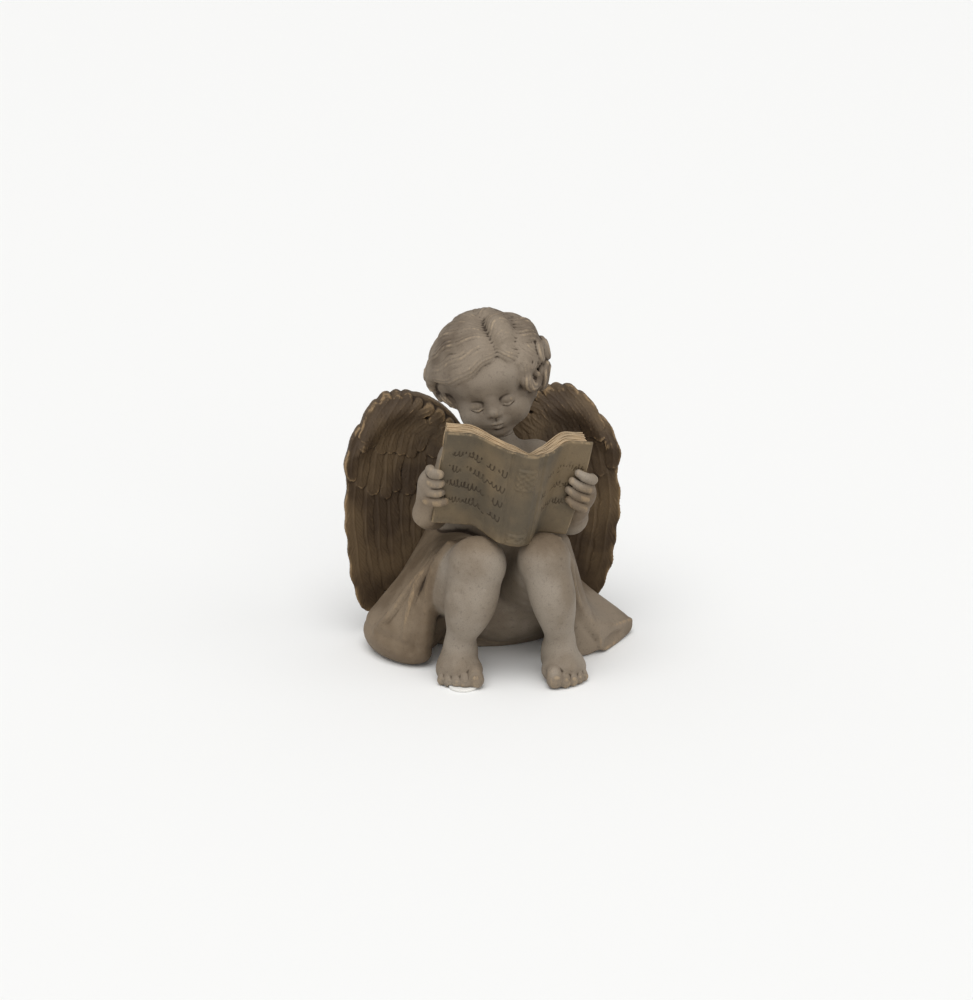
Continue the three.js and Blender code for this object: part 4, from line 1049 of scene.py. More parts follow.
# %% The wings
wings = {}
for side, word, low, high in ((-1, "right", -110, 0), (1, "left", 0, 114)):
    wing_clay = Clay((low, 2, 8), (high, 66, 188), WING_PITCH)
    wing_clay.add(wing_sheet(side), 0)
    wings[side] = clay_object(f"wing_{word}", wing_clay)
del wing_clay

# %% [markdown]
# ## Node trees
#
# Every tree below is built in the same way, so it is worth having a few helpers: one makes a tree with
# named sockets, one adds a node and feeds its inputs, one is for sums, and one ends a tree of geometry by
# making its instances real and setting the material.

# %% Helpers for node trees
def new_tree(name, kind, inputs, outputs):
    """An empty tree. Each input is a name, a kind and, where it has one, a value."""
    tree = bpy.data.node_groups.new(name, kind)
    for label, sort, *value in inputs:
        made = tree.interface.new_socket(label, in_out="INPUT", socket_type=f"NodeSocket{sort}")
        if value:
            made.default_value = value[0]
    for label, sort in outputs:
        tree.interface.new_socket(label, in_out="OUTPUT", socket_type=f"NodeSocket{sort}")
    return tree


def feed(tree, made, inputs):
    """Gives each input of a node a value, or links it from a socket."""
    for place, value in inputs.items():
        if isinstance(value, bpy.types.NodeSocket):
            tree.links.new(value, made.inputs[place])
        else:
            made.inputs[place].default_value = value
    return made


def node(tree, kind, inputs=None, **settings):
    made = tree.nodes.new(kind)
    for name, value in settings.items():
        setattr(made, name, value)
    return feed(tree, made, inputs or {})


def maths(tree, operation, *values):
    return node(tree, "ShaderNodeMath", dict(enumerate(values)), operation=operation).outputs[0]


def finish_tree(tree, geometry, material):
    solid = node(tree, "GeometryNodeRealizeInstances", {0: geometry}).outputs[0]
    painted = node(tree, "GeometryNodeSetMaterial", {0: solid, "Material": material}).outputs[0]
    node(tree, "NodeGroupOutput", {0: painted})
    return tree


def add_tree(made, tree, **values):
    """Puts a tree on an object, each input set by its socket's identifier."""
    modifier = made.modifiers.new(tree.name, "NODES")
    modifier.node_group = tree
    for item in tree.interface.items_tree:
        if item.item_type == "SOCKET" and item.in_out == "INPUT" and item.name in values:
            modifier[item.identifier] = values[item.name]


print("helpers ready")

# %% [markdown]
# ## Covers of the book
#
# The covers and spine are one plate, built flat: across along X, depth along Y, up the spine along Z.
# Rows of shallow handwriting run over them. They are only strokes, not letters: a Geometry Nodes tree
# draws lines across a cover, waves them into loops, drops out gaps between words, and presses the plate
# wherever a stroke runs close. Engraving by distance to a curve needs no boolean, and its sizes stay
# adjustable inputs.

# %% A node tree of handwriting
STROKE_POINTS = 320  # along each row
LOOP_NOISE, WORD_NOISE = 0.75, 0.12  # scale of the noise that varies the loops, and that parts words
WORD_GAP = 0.42  # where the slow noise is under this, the row is left blank
FULL_TURN = 6.2832


def handwriting_tree():
    tree = new_tree("handwriting", "GeometryNodeTree", (
        ("Geometry", "Geometry"), ("From", "Float", -40.0), ("To", "Float", -10.0),
        ("Top Row", "Float", 15.0), ("Row Spacing", "Float", 9.0), ("Rows", "Int", 3),
        ("Row Slope", "Float", 0.0),
        ("Loop Height", "Float", 2.0), ("Loop Pitch", "Float", 2.4), ("Stroke Width", "Float", 0.55),
        ("Stroke Depth", "Float", 0.7), ("Seed", "Int", 1), ("Material", "Material"),
    ), (("Geometry", "Geometry"),))
    given = node(tree, "NodeGroupInput").outputs

    def add(kind, inputs=None, **settings):
        return node(tree, kind, inputs, **settings).outputs[0]

    def calc(operation, *values):
        return maths(tree, operation, *values)

    # one point for each row, and a line drawn from each
    start = add("ShaderNodeCombineXYZ", {0: given["From"], 2: given["Top Row"]})
    step = add("ShaderNodeCombineXYZ", {2: calc("MULTIPLY", given["Row Spacing"], -1.0)})
    rows = add("GeometryNodeMeshLine", {"Count": given["Rows"], "Start Location": start, "Offset": step})
    width = calc("SUBTRACT", given["To"], given["From"])
    end = add("ShaderNodeCombineXYZ", {0: width, 2: calc("MULTIPLY", width, given["Row Slope"])})
    line = add("GeometryNodeCurvePrimitiveLine", {"End": end})
    fine = add("GeometryNodeResampleCurve", {"Curve": line, "Count": STROKE_POINTS})
    copies = add("GeometryNodeInstanceOnPoints", {"Points": rows, "Instance": fine})
    drawn = add("GeometryNodeRealizeInstances", {0: copies})
    # loops: each point swings round as it goes along, and the swing's size follows a noise
    here = add("GeometryNodeInputPosition")
    along = add("ShaderNodeSeparateXYZ", {0: here})
    noise = add("ShaderNodeTexNoise",
                {"Vector": here, "Scale": LOOP_NOISE, "Detail": 1.0, "W": given["Seed"]},
                noise_dimensions="4D")
    strength = calc("SUBTRACT", calc("MULTIPLY", noise, 3.2), 0.7)
    turn = calc("MULTIPLY", calc("DIVIDE", along, given["Loop Pitch"]), FULL_TURN)
    turn = calc("ADD", turn, calc("MULTIPLY", noise, 5.0))
    wide = calc("MULTIPLY", calc("COSINE", turn), calc("MULTIPLY", given["Loop Pitch"], 0.22))
    high = calc("MULTIPLY", calc("SINE", turn), given["Loop Height"])
    swing = add("ShaderNodeCombineXYZ", {
        0: calc("MULTIPLY", wide, strength), 2: calc("MULTIPLY", high, strength)})
    waved = add("GeometryNodeSetPosition", {0: drawn, "Offset": swing})
    # gaps between words
    slow = {"Vector": here, "Scale": WORD_NOISE, "Detail": 0.0, "W": calc("ADD", given["Seed"], 7.0)}
    slow = add("ShaderNodeTexNoise", slow, noise_dimensions="4D")
    gap = add("FunctionNodeCompare", {"A": slow, "B": WORD_GAP}, operation="LESS_THAN")
    strokes = add("GeometryNodeCurveToMesh", {"Curve": waved})
    words = add("GeometryNodeDeleteGeometry", {0: strokes, "Selection": gap}, domain="POINT")
    # press the plate under the strokes, but only its front
    flat = add("ShaderNodeVectorMath", {0: here, 1: (1, 0, 1)}, operation="MULTIPLY")
    near = node(tree, "GeometryNodeProximity", {0: words, "Sample Position": flat}, target_element="EDGES")
    closeness = calc("DIVIDE", near.outputs["Distance"], given["Stroke Width"])
    closeness = calc("MAXIMUM", calc("SUBTRACT", 1.0, closeness), 0.0)
    pressed = calc("MULTIPLY", closeness, calc("SUBTRACT", 2.0, closeness))
    front, before = (add("GeometryNodeInputNamedAttribute", {0: name}, data_type="FLOAT")
                     for name in ("front", "engraved"))
    pressed = calc("MULTIPLY", pressed, front)
    keep = add("GeometryNodeStoreNamedAttribute", {
        "Geometry": given["Geometry"], "Name": "engraved", "Value": calc("MAXIMUM", before, pressed),
    }, data_type="FLOAT", domain="POINT")
    push = add("ShaderNodeCombineXYZ", {1: calc("MULTIPLY", pressed, given["Stroke Depth"])})
    press = add("GeometryNodeSetPosition", {0: keep, "Offset": push})
    return finish_tree(tree, press, given["Material"])


handwriting = handwriting_tree()
print("handwriting tree:", len(handwriting.nodes), "nodes")

# %% The plate of the covers
PLATE_THICKNESS, FRONT_SINK = 3.2, 0.6  # the front is set back so that the spine's carving stays within reach
PLATE_STEP = 0.42
EDGE_ROUNDING, EDGE_WIDTH = 0.7, 1.1
SPINE_PANELS = ((16.5, 8.5), (-28.5, 4.0))  # height of the middle, half height
cover_finish = bpy.data.materials.new("aged_stone_covers")
leaf_finish = bpy.data.materials.new("aged_stone_leaves")


def spine_relief(a, c):
    """Raised panels on the spine, carved with a plain lattice, and a groove at each hinge."""
    across = 1 - smooth(np.abs(a), BOOK["spine"] - 2.5, BOOK["spine"] - 0.5)
    high = 0
    for level, half in SPINE_PANELS:
        inside = 1 - smooth(np.abs(c - level), half - 1.2, half)
        rim = np.exp(-((np.abs(np.abs(c - level) - half + 1.6) / 0.7) ** 2))
        wave = 0.5 + 0.5 * np.sin((c - level) * 1.5 + 0.8 * np.sin(a * 0.9)) * np.cos(a * 0.95)
        high = high + inside * (0.5 + 1.1 * wave * (1 - rim) + 0.9 * rim)
    hinge = np.exp(-(((np.abs(a) - BOOK["spine"] - 2.2) / 1.3) ** 2))
    return (high + 0.7) * across - 1.3 * hinge


print(len(SPINE_PANELS), "panels on the spine")

# %% A flat plate
def plate(name, left, right, height, relief):
    """A closed flat plate with a fine front face: X across, Y from the front to the back, Z up."""
    a = np.linspace(left, right, round((right - left) / PLATE_STEP) + 1)
    c = np.linspace(-height / 2, height / 2, round(height / PLATE_STEP) + 1)
    A, C = np.meshgrid(a, c, indexing="ij")
    rim = np.minimum(np.minimum(A - left, right - A), np.minimum(C + height / 2, height / 2 - C))
    soft = EDGE_ROUNDING * (1 - smooth(rim, 0, EDGE_WIDTH))
    front = np.stack([A, FRONT_SINK + soft - relief(A, C) * smooth(rim, 0, 1.5), C], -1).reshape(-1, 3)
    back = np.stack([A, PLATE_THICKNESS - 0 * A, C], -1).reshape(-1, 3)
    grid = np.arange(A.size).reshape(A.shape)
    quads = np.stack([grid[:-1, :-1], grid[1:, :-1], grid[1:, 1:], grid[:-1, 1:]], -1).reshape(-1, 4)
    faces = [quads, quads[:, ::-1] + A.size]
    for edge, flip in ((grid[:, 0], False), (grid[:, -1], True), (grid[0], True), (grid[-1], False)):
        side = np.stack([edge[:-1], edge[:-1] + A.size, edge[1:] + A.size, edge[1:]], -1)
        faces.append(side[:, ::-1] if flip else side)
    faces = np.concatenate(faces)
    mesh = bpy.data.meshes.new(name)
    mesh.from_pydata(np.concatenate([front, back]).tolist(), [], faces.tolist())
    mesh.shade_smooth()
    made = in_scene(name, mesh)
    is_front = np.concatenate([smooth(rim, 1, 2).ravel(), np.zeros(A.size)])
    set_attribute(made, "front", is_front)
    set_attribute(made, "engraved", 0 * is_front)
    set_attribute(made, "edge", np.concatenate([1 - smooth(rim, 0.2, 2.2).ravel()] * 2))
    return made


print("plate points lie", PLATE_STEP, "mm apart")

# %% The covers
cover_left, cover_right = BOOK["cover"]
covers = plate("book_covers", -cover_left, cover_right, BOOK["height"], spine_relief)
add_tree(covers, handwriting, **{
    "From": -49.0, "To": -13.0, "Top Row": 20.0, "Row Spacing": 11.5, "Rows": 4, "Row Slope": -0.1,
    "Loop Height": 2.3, "Loop Pitch": 2.5, "Stroke Width": 0.6, "Stroke Depth": 0.6, "Seed": 3,
    "Material": cover_finish})
add_tree(covers, handwriting, **{
    "From": 14.0, "To": 45.0, "Top Row": 14.0, "Row Spacing": 12.5, "Rows": 3, "Row Slope": 0.04,
    "Loop Height": 1.9, "Loop Pitch": 2.2, "Stroke Width": 0.55, "Stroke Depth": 0.55, "Seed": 9,
    "Material": cover_finish})
settled(covers)
print("covers:", len(covers.data.polygons), "faces")

# %% Bending the flat work
def bend(made, points):
    """Carries flat places on to the open book, and from there into the frame."""
    made.data.vertices.foreach_set("co", to_frame(on_book(*points.T)).astype(np.float32).ravel())
    made.data.update()


bend(covers, vertices(covers))
print("covers bent")

# %% [markdown]
# ## Leaves of the book
#
# The block of leaves is carved as a stack of thin layers with uneven edges. An Array modifier would make
# the layers all alike, so a node tree puts a thin slab on each point of a line and sets every one a
# little off from its neighbours. The stack becomes one mesh, is squeezed at the gutter and is bent with
# the covers.

# %% A node tree of leaves
SLAB_VERTICES = {"Vertices X": 90, "Vertices Y": 2, "Vertices Z": 14}


def leaves_tree():
    tree = new_tree("leaves", "GeometryNodeTree", (
        ("Geometry", "Geometry"), ("Leaves", "Int", 12), ("Spacing", "Float", 1.5),
        ("Thickness", "Float", 1.15), ("Width", "Float", 96.0), ("Height", "Float", 66.0),
        ("Unevenness", "Float", 0.6), ("Seed", "Int", 4), ("Material", "Material"),
    ), (("Geometry", "Geometry"),))
    given = node(tree, "NodeGroupInput").outputs

    def add(kind, inputs=None, **settings):
        return node(tree, kind, inputs, **settings).outputs[0]

    step = add("ShaderNodeCombineXYZ", {1: given["Spacing"]})
    line = add("GeometryNodeMeshLine", {"Count": given["Leaves"], "Offset": step})
    size = add("ShaderNodeCombineXYZ", {0: given["Width"], 1: given["Thickness"], 2: given["Height"]})
    slab = add("GeometryNodeMeshCube", {"Size": size, **SLAB_VERTICES})
    copies = add("GeometryNodeInstanceOnPoints", {"Points": line, "Instance": slab})
    most = add("ShaderNodeCombineXYZ", {
        0: given["Unevenness"], 2: maths(tree, "MULTIPLY", given["Unevenness"], 0.7)})
    least = add("ShaderNodeVectorMath", {0: most, "Scale": -1.0}, operation="SCALE")
    off = add("FunctionNodeRandomValue", {0: least, 1: most, "Seed": given["Seed"]}, data_type="FLOAT_VECTOR")
    moved = add("GeometryNodeTranslateInstances", {0: copies, "Translation": off})
    return finish_tree(tree, moved, given["Material"])


stacked = leaves_tree()
print("leaves tree:", len(stacked.nodes), "nodes")

# %% The leaves
leaves = in_scene("book_leaves", bpy.data.meshes.new("book_leaves"))
LEAVES, LEAF_STEP, LEAF_THICKNESS = 13, 1.45, 1.28
SHORT_ACROSS, SHORT_UP = 6.5, 4.4  # how much smaller than the covers the leaves are
HALF_LEAF = 0.6
add_tree(leaves, stacked, **{
    "Leaves": LEAVES, "Spacing": LEAF_STEP, "Thickness": LEAF_THICKNESS,
    "Width": cover_left + cover_right - SHORT_ACROSS, "Height": BOOK["height"] - SHORT_UP,
    "Unevenness": 0.75, "Seed": 11, "Material": leaf_finish})
settled(leaves)
points = vertices(leaves)
number = np.arange(len(points)) // (len(points) // LEAVES)
# each leaf's fore edge, head and foot wander in its own way
fray = 0.35 * np.sin(points[:, 2] * 0.35 + number * 1.9) + 0.2 * np.sin(points[:, 2] * 1.1 + number)
half = np.abs(points[:, 0]).max() - 1
points[:, 0] += fray * smooth(np.abs(points[:, 0]), half - 8, half) + (cover_right - cover_left) / 2
points[:, 2] += 0.3 * np.sin(points[:, 0] * 0.23 + number * 2.3) * smooth(np.abs(points[:, 2]), 24, 32)
# the stack is thin in the gutter and thick over the boards
depth = (points[:, 1] + HALF_LEAF) / (LEAVES * LEAF_STEP)
swell = lerp(BOOK["gutter"], BOOK["pages"], np.sqrt(smooth(np.abs(points[:, 0]), 0, BOOK["spine"] + 10)))
points[:, 1] = BOOK["board"] + HALF_LEAF + depth * (swell - BOOK["board"] - HALF_LEAF)
bend(leaves, points)
print("leaves:", len(leaves.data.polygons), "faces in", LEAVES, "leaves")

# %% [markdown]
# ## Felt pad
#
# The pad is a disc of felt cut with a punch, so its rim is soft and a little uneven. A bevelled cylinder
# would be too regular. Here rings of points follow the section of the rim, and the outer ones wander a
# little. Its place and its size are read from the solid pad.

# %% Felt pad
PAD_SIDES, PAD_WANDER = 72, 0.006
PAD_PROFILE = [  # share of the radius, share of the height, from the middle below to the middle above
    (0, 0), (0.5, 0), (0.9, 0), (0.975, 0.08), (1, 0.3),
    (1, 0.7), (0.975, 0.92), (0.9, 1), (0.5, 0.98), (0, 0.97),
]
mesh = bpy.data.meshes.new("toe_pad")
work = bmesh.new()
pad_radius = (pad_high[0] - pad_low[0]) / 2
pad_height = pad_high[2] - pad_low[2]
pad_middle = ((pad_low + pad_high) / 2)[:2]
rings = []
for r, h in PAD_PROFILE:
    ring = []
    for k in range(PAD_SIDES if 0 < r else 1):
        angle = 2 * math.pi * k / PAD_SIDES
        wander = 1 - PAD_WANDER * (1 + math.sin(5 * angle + 1)) * (r > 0.8)
        at = pad_middle + pad_radius * r * wander * np.array([math.cos(angle), math.sin(angle)])
        ring.append(work.verts.new((at[0], at[1], pad_low[2] + pad_height * h)))
    rings.append(ring)
for low_ring, high_ring in zip(rings, rings[1:]):
    for k in range(PAD_SIDES):
        a, b = low_ring[k % len(low_ring)], low_ring[(k + 1) % len(low_ring)]
        c, d = high_ring[(k + 1) % len(high_ring)], high_ring[k % len(high_ring)]
        work.faces.new([v for n, v in enumerate((a, b, c, d)) if v not in (a, b, c, d)[:n]])
bmesh.ops.recalc_face_normals(work, faces=work.faces)
work.to_mesh(mesh)
work.free()
mesh.shade_smooth()
toe_pad = in_scene("toe_pad", mesh)
print("pad", round(pad_radius * 2000, 1), "mm across")

# %% [markdown]
# ## Finish of the stone
#
# The factory paints the cast brown, floods it with a darker wash, wipes it so that the wash stays in the
# hollows, and drags a nearly dry pale brush over the carving. Each of those is a layer in one shader
# group. The wash's dark colour also fills the wide hollows, and there it is painted shade as well as wash.
# An image texture could hold the same layers, but it would have to be painted again for each piece. The
# carving attribute says where hollows and ridges are, and noise at several sizes breaks every layer up,
# because none of them is even on the real thing.

# %% The aging group
SPECK_COLOUR, GRIT_COLOUR = (0.05, 0.035, 0.025, 1), (0.05, 0.038, 0.028, 1)


def shader_group():
    tree = new_tree("aged_paint", "ShaderNodeTree", (
        ("Carving", "Color", (0.5, 0.5, 0.5, 1)), ("Base", "Color", (0.2, 0.16, 0.12, 1)),
        ("Cloud", "Color", (0.25, 0.22, 0.19, 1)), ("Wash", "Color", (0.03, 0.02, 0.014, 1)),
        ("Brush", "Color", (0.4, 0.3, 0.18, 1)), ("Wash Amount", "Float", 1.0),
        ("Brush Amount", "Float", 0.6), ("Pitting", "Float", 0.5),
    ), (("Color", "Color"), ("Roughness", "Float"), ("Height", "Float")))
    given = node(tree, "NodeGroupInput").outputs
    coordinates = node(tree, "ShaderNodeTexCoord").outputs["Object"]

    def plus(a, b):
        return maths(tree, "ADD", a, b)

    def times(a, b):
        return maths(tree, "MULTIPLY", a, b)

    def noise(scale, detail, rough=0.55, stretch=(1, 1, 1)):
        place = node(tree, "ShaderNodeMapping", {"Vector": coordinates, "Scale": stretch}).outputs[0]
        inputs = {"Vector": place, "Scale": scale, "Detail": detail, "Roughness": rough}
        return node(tree, "ShaderNodeTexNoise", inputs).outputs[0]

    def ramp(value, low, high, to_low=0.0, to_high=1.0):
        inputs = {"Value": value, "From Min": low, "From Max": high, "To Min": to_low, "To Max": to_high}
        return node(tree, "ShaderNodeMapRange", inputs, interpolation_type="SMOOTHSTEP").outputs[0]

    def mixed(factor, a, b):
        return node(tree, "ShaderNodeMix", {0: factor, 6: a, 7: b}, data_type="RGBA").outputs[2]

    fine, middling, wide = node(tree, "ShaderNodeSeparateColor", {0: given["Carving"]}).outputs
    broad, patch, speck = noise(22.0, 3.0), noise(95.0, 5.0, 0.62), noise(420.0, 3.0, 0.6)
    grit = noise(1500.0, 2.0, 0.5)

    colour = mixed(ramp(broad, 0.38, 0.62), given["Base"], given["Cloud"])
    colour = mixed(times(ramp(patch, 0.5, 0.72), 0.35), colour, given["Cloud"])
    colour = mixed(times(ramp(speck, 0.55, 0.75), 0.3), colour, SPECK_COLOUR)

    # the wash, more of it in finer and deeper hollows, and painted shade in the wide hollows, its edge broken
    # by noise
    wash_and_shade = plus(times(ramp(fine, 0.47, 0.1), 0.6), times(ramp(middling, 0.46, 0.05), 0.7))
    wash_and_shade = plus(wash_and_shade, times(ramp(wide, 0.5, 0.1), 0.5))
    wash_and_shade = times(times(wash_and_shade, ramp(patch, 0.3, 0.6, 0.6, 1.15)), given["Wash Amount"])
    colour = mixed(ramp(wash_and_shade, 0.0, 1.5, 0.0, 0.85), colour, given["Wash"])

    # the dry brush: only what stands out catches it, in broken streaks
    streaks = noise(160.0, 4.0, 0.7, (1.0, 1.0, 0.25))
    proud = plus(ramp(fine, 0.53, 0.8), times(ramp(middling, 0.54, 0.85), 0.6))
    proud = times(times(proud, ramp(streaks, 0.4, 0.62, 0.1, 1.0)), given["Brush Amount"])
    colour = mixed(ramp(proud, 0.05, 1.2, 0.0, 0.8), colour, given["Brush"])
    colour = mixed(times(ramp(grit, 0.35, 0.5, 1.0, 0.0), 0.16), colour, GRIT_COLOUR)

    rough = plus(ramp(wash_and_shade, 0.0, 1.0, 0.62, 0.82), times(speck, 0.12))
    height = plus(times(speck, 0.6), times(patch, 0.7))
    height = times(plus(height, times(ramp(grit, 0.25, 0.42), 0.35)), given["Pitting"])
    node(tree, "NodeGroupOutput", {"Color": colour, "Roughness": rough, "Height": height})
    return tree


aged_paint = shader_group()
print("aging group:", len(aged_paint.nodes), "nodes")

# %% [markdown]
# ## Paints
#
# The skin is a greyish brown, the robe browner, the wings dark with a strong pale brush, the hair dark in
# its depths, and the leaves pale. The robe's paint also darkens the arms, hands and chest as painted
# shade, the hair's paint darkens the skin near the hair and the neck as painted shade, and the wash's
# colour is painted shade in the wide hollows. They are one paint job, so they share the group and differ
# only in its inputs.

# %% Materials
# the wash's colour, which is also the painted shade in wide hollows
WASH_AND_SHADE = (42, 31, 21)
BUMP_STRENGTH, BUMP_DEPTH = 0.35, 0.0006
PAINTS = dict(  # base, cloud and dry brush colours, amounts of wash and painted shade and of brush, pitting
    figure=((122, 109, 93), (142, 131, 117), (168, 146, 116), 1.3, 0.5, 0.6),
    robe=((104, 88, 69), (128, 112, 92), (160, 136, 104), 1.4, 0.6, 0.7),
    face=((122, 109, 93), (142, 131, 117), (168, 146, 116), 1.6, 0.5, 0.6),
    wings=((66, 51, 35), (98, 80, 57), (146, 121, 88), 1.35, 0.85, 0.9),
    hair_and_shade=((94, 81, 67), (132, 119, 103), (164, 145, 120), 2.2, 0.7, 0.6),
    covers=((84, 74, 58), (112, 96, 72), (152, 130, 98), 1.3, 0.7, 0.9),
    leaves=((160, 140, 113), (188, 162, 127), (152, 130, 98), 0.8, 0.7, 0.9),
)


def srgb(*levels):
    """Colour levels up to 255, as the linear numbers that a shader takes."""
    shares = [v / 255 for v in levels]
    return (*(v / 12.92 if v < 0.04045 else ((v + 0.055) / 1.055) ** 2.4 for v in shares), 1)


def aged(material, base, cloud, brush, wash_amount, brush_amount, pitting):
    """Paints a material with the aging group, which reads its piece's carving."""
    material.use_nodes = True
    tree = material.node_tree
    group = node(tree, "ShaderNodeGroup", node_tree=aged_paint)
    feed(tree, group, {
        "Carving": node(tree, "ShaderNodeAttribute", attribute_name="carving").outputs["Color"],
        "Base": srgb(*base), "Cloud": srgb(*cloud), "Wash": srgb(*WASH_AND_SHADE), "Brush": srgb(*brush),
        "Wash Amount": wash_amount, "Brush Amount": brush_amount, "Pitting": pitting})
    raised = node(tree, "ShaderNodeBump", {
        "Strength": BUMP_STRENGTH, "Distance": BUMP_DEPTH, "Height": group.outputs["Height"]})
    feed(tree, tree.nodes["Principled BSDF"], {
        "Base Color": group.outputs["Color"], "Roughness": group.outputs["Roughness"],
        "Normal": raised.outputs[0], "Specular IOR Level": 0.35})
    return material


finishes = {"covers": cover_finish, "leaves": leaf_finish}
for name, paint in PAINTS.items():
    if name not in finishes:
        finishes[name] = bpy.data.materials.new(f"aged_stone_{name}")
    aged(finishes[name], *paint)
print("paints:", list(finishes))

# %% [markdown]
# ## Wear of the book
#
# The book was built flat and has no clay to blur, so its hollows and ridges are laid on from what is
# known: strokes are hollow, edges stand out, and leaves alternate. It is the same attribute, so the same
# paint works.

# %% Where the book is worn
def lay_carving(made, fine, middling, wide):
    set_attribute(made, "carving", np.clip(np.stack(np.broadcast_arrays(fine, middling, wide), 1), 0, 1))


def read_attribute(made, name):
    values = np.zeros(len(made.data.vertices), np.float32)
    made.data.attributes[name].data.foreach_get("value", values)
    return values


engraved, edge = read_attribute(covers, "engraved"), read_attribute(covers, "edge")
print("engraved share of the covers:", round(float((engraved > 0.1).mean()), 3))
lay_carving(covers, 0.5 - 0.4 * engraved + 0.3 * edge, 0.5 + 0.12 * edge - 0.2 * engraved, 0.5 + 0 * edge)
lay_carving(leaves, 0.5 + 0.1 * np.sin(points[:, 1] * 4), 0.52 + 0 * points[:, 1], 0.5 + 0 * points[:, 1])

# %% [markdown]
# ## Felt
#
# Felt is pale, mottled where its fibres lie thick or thin, and quite without gloss. Hair particles would
# be lost at this size, so a twisted noise gives both the mottle and the fuzz, and a little sheen softens
# its rim.

# %% Felt
FELT_THIN, FELT_THICK = (196, 192, 184), (240, 239, 235)
felt_finish = bpy.data.materials.new("felt")
felt_finish.use_nodes = True
tree = felt_finish.node_tree
where = node(tree, "ShaderNodeTexCoord").outputs["Object"]
fibre = {"Vector": where, "Scale": 900.0, "Detail": 6.0, "Distortion": 1.5}
fibre = node(tree, "ShaderNodeTexNoise", fibre).outputs[0]
tint = {0: fibre, 6: srgb(*FELT_THIN), 7: srgb(*FELT_THICK)}
tint = node(tree, "ShaderNodeMix", tint, data_type="RGBA").outputs[2]
fuzz = node(tree, "ShaderNodeBump", {"Strength": 0.6, "Distance": 0.0003, "Height": fibre}).outputs[0]
feed(tree, tree.nodes["Principled BSDF"], {
    "Base Color": tint, "Roughness": 0.95, "Sheen Weight": 0.4, "Normal": fuzz})
toe_pad.data.materials.append(felt_finish)
print("felt ready")

# %% [markdown]
# ## Two paints on one piece
#
# Skin runs into robe, and face into hair, without an edge. Two materials on one mesh would meet in a
# jagged line, so each of these pieces has one material, and its mask attribute mixes the inputs of the
# group. The same masks lay the robe's and the hair's darker paint on nearby skin as painted shade.

# %% Finishes in place
def blend_by_mask(name, mask, first, second):
    """One material whose colour goes from one set of paint values to another by an attribute."""
    material = first.copy()
    material.name = name
    tree = material.node_tree
    group, other = (next(n for n in m.node_tree.nodes if n.type == "GROUP") for m in (material, second))
    share = node(tree, "ShaderNodeAttribute", attribute_name=mask).outputs["Fac"]
    for here, there in zip(group.inputs, other.inputs):
        if here.name == "Carving":
            continue
        kind, a, b, out = ("RGBA", 6, 7, 2) if here.type == "RGBA" else ("FLOAT", 2, 3, 0)
        values = {0: share, a: here.default_value, b: there.default_value}
        tree.links.new(node(tree, "ShaderNodeMix", values, data_type=kind).outputs[out], here)
    return material


for piece, name, mask, first, second in (
    (body, "aged_stone_body", "robe_and_arm_shade", "figure", "robe"), (head, "aged_stone_head", "hair_and_shade", "face", "hair_and_shade")
):
    piece.data.materials.append(blend_by_mask(name, mask, finishes[first], finishes[second]))
for wing in wings.values():
    wing.data.materials.append(finishes["wings"])
print("finishes in place")

# %% [markdown]
# ## Into the frame
#
# Every piece is part of the one casting, so all of them ride on the one body and stand for the one solid.
# The pad stands for its own.

# %% Riding and replacing
for piece in (body, head, covers, leaves, *wings.values()):
    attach(piece, "root")
    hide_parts("cherub")
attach(toe_pad, "root")
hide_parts("felt_pad")
print("pieces:", [piece.name for piece in (body, head, covers, leaves, *wings.values(), toe_pad)])

# %% [markdown]
# ## Floor, light and camera
#
# A pale sweep, a large soft light from high on the left, a low one from the front, a weak one from the
# right and a bright surround give the flat studio light that small goods are shown in. Suns with a wide
# angle are as soft as large panels, and their light is the same wherever a piece stands. The camera looks
# slightly down from the figure's right.

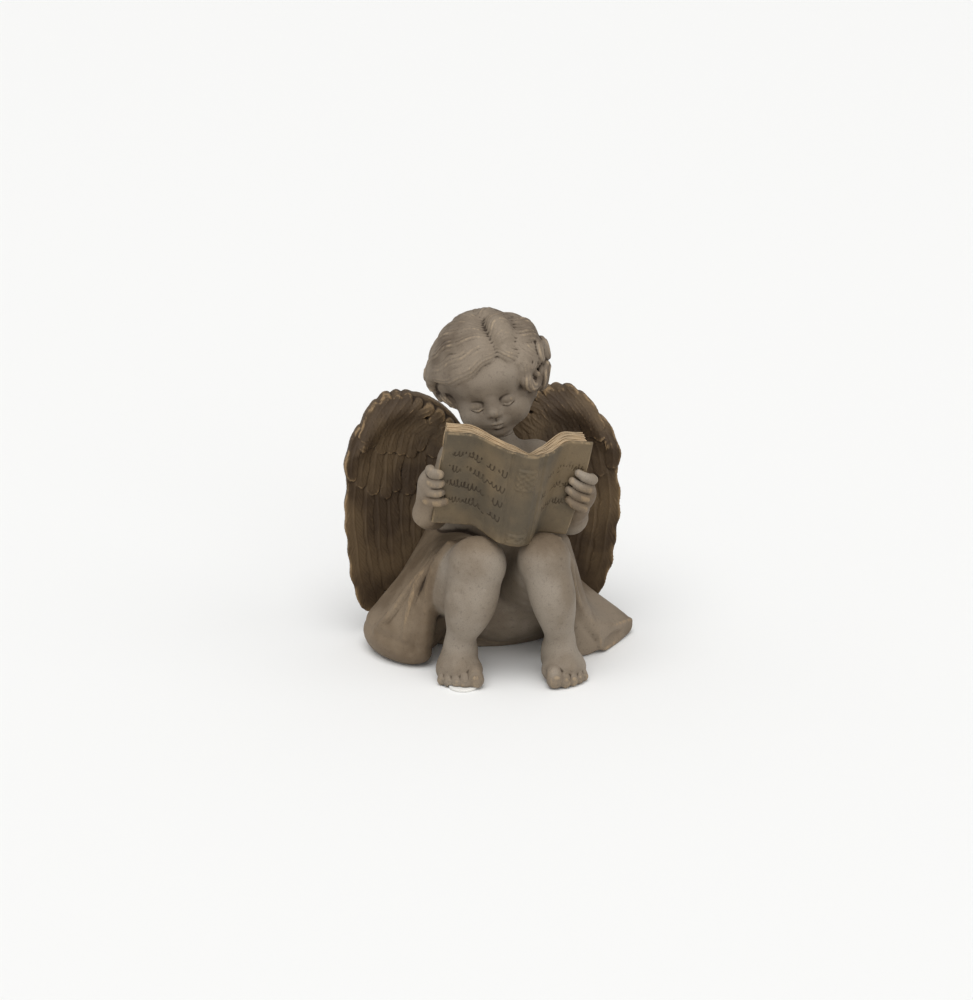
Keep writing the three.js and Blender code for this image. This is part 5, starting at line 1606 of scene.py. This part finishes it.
# %% Floor
FLOOR_SIZE = 40
bpy.ops.mesh.primitive_plane_add(size=FLOOR_SIZE, location=(0, 0, 0))
floor = bpy.context.object
floor.name = "floor"
paper = bpy.data.materials.new("paper_sweep")
paper.use_nodes = True
feed(paper.node_tree, paper.node_tree.nodes["Principled BSDF"], {
    "Base Color": (0.86, 0.86, 0.85, 1), "Roughness": 0.9})
floor.data.materials.append(paper)
print("floor", FLOOR_SIZE, "m wide")

# %% Light
SUNS = dict(  # bearing round from the front, height, strength and spread
    ceiling=(-25, 66, 1.95, 55), front=(5, 12, 0.7, 50), side=(60, 40, 0.3, 40)
)
SURROUND = 0.44
for name, (bearing, height, strength, spread) in SUNS.items():
    lamp = bpy.data.lights.new(name, "SUN")
    lamp.energy, lamp.angle = strength, math.radians(spread)
    in_scene(name, lamp).rotation_euler = Vector(facing(bearing, height)).to_track_quat("Z", "Y").to_euler()
world = bpy.data.worlds.new("studio")
bpy.context.scene.world = world
world.use_nodes = True
feed(world.node_tree, world.node_tree.nodes["Background"], {0: (1, 1, 1, 1), 1: SURROUND})
bpy.context.scene.view_settings.view_transform = "Standard"
print("suns:", list(SUNS), "and a surround of", SURROUND)

# %% Camera
ELEVATION, AZIMUTH, DISTANCE = 18, -10, 1.5
LOOK_AT = vec(0, 0, 110)
SENSOR, FOCAL_LENGTH = 36, 75.6
lens = bpy.data.cameras.new("camera")
lens.sensor_width, lens.lens = SENSOR, FOCAL_LENGTH
lens.clip_start, lens.clip_end = 0.05, 50
camera = in_scene("camera", lens)
back = Vector(facing(AZIMUTH, ELEVATION))
camera.location = Vector(to_frame(LOOK_AT)) + back * DISTANCE
camera.rotation_euler = (-back).to_track_quat("-Z", "Y").to_euler()
bpy.context.scene.camera = camera
print("camera at", tuple(round(v, 3) for v in camera.location))

# %% [markdown]
# ## Done
#
# The last cell brings the scene up to date and prints the time taken. The finer carving has to stay
# within the solid's reach, because other parts are fitted to the solid.

# %% Done
bpy.context.view_layer.update()
print(f"made in {time.time() - started:.0f} s")
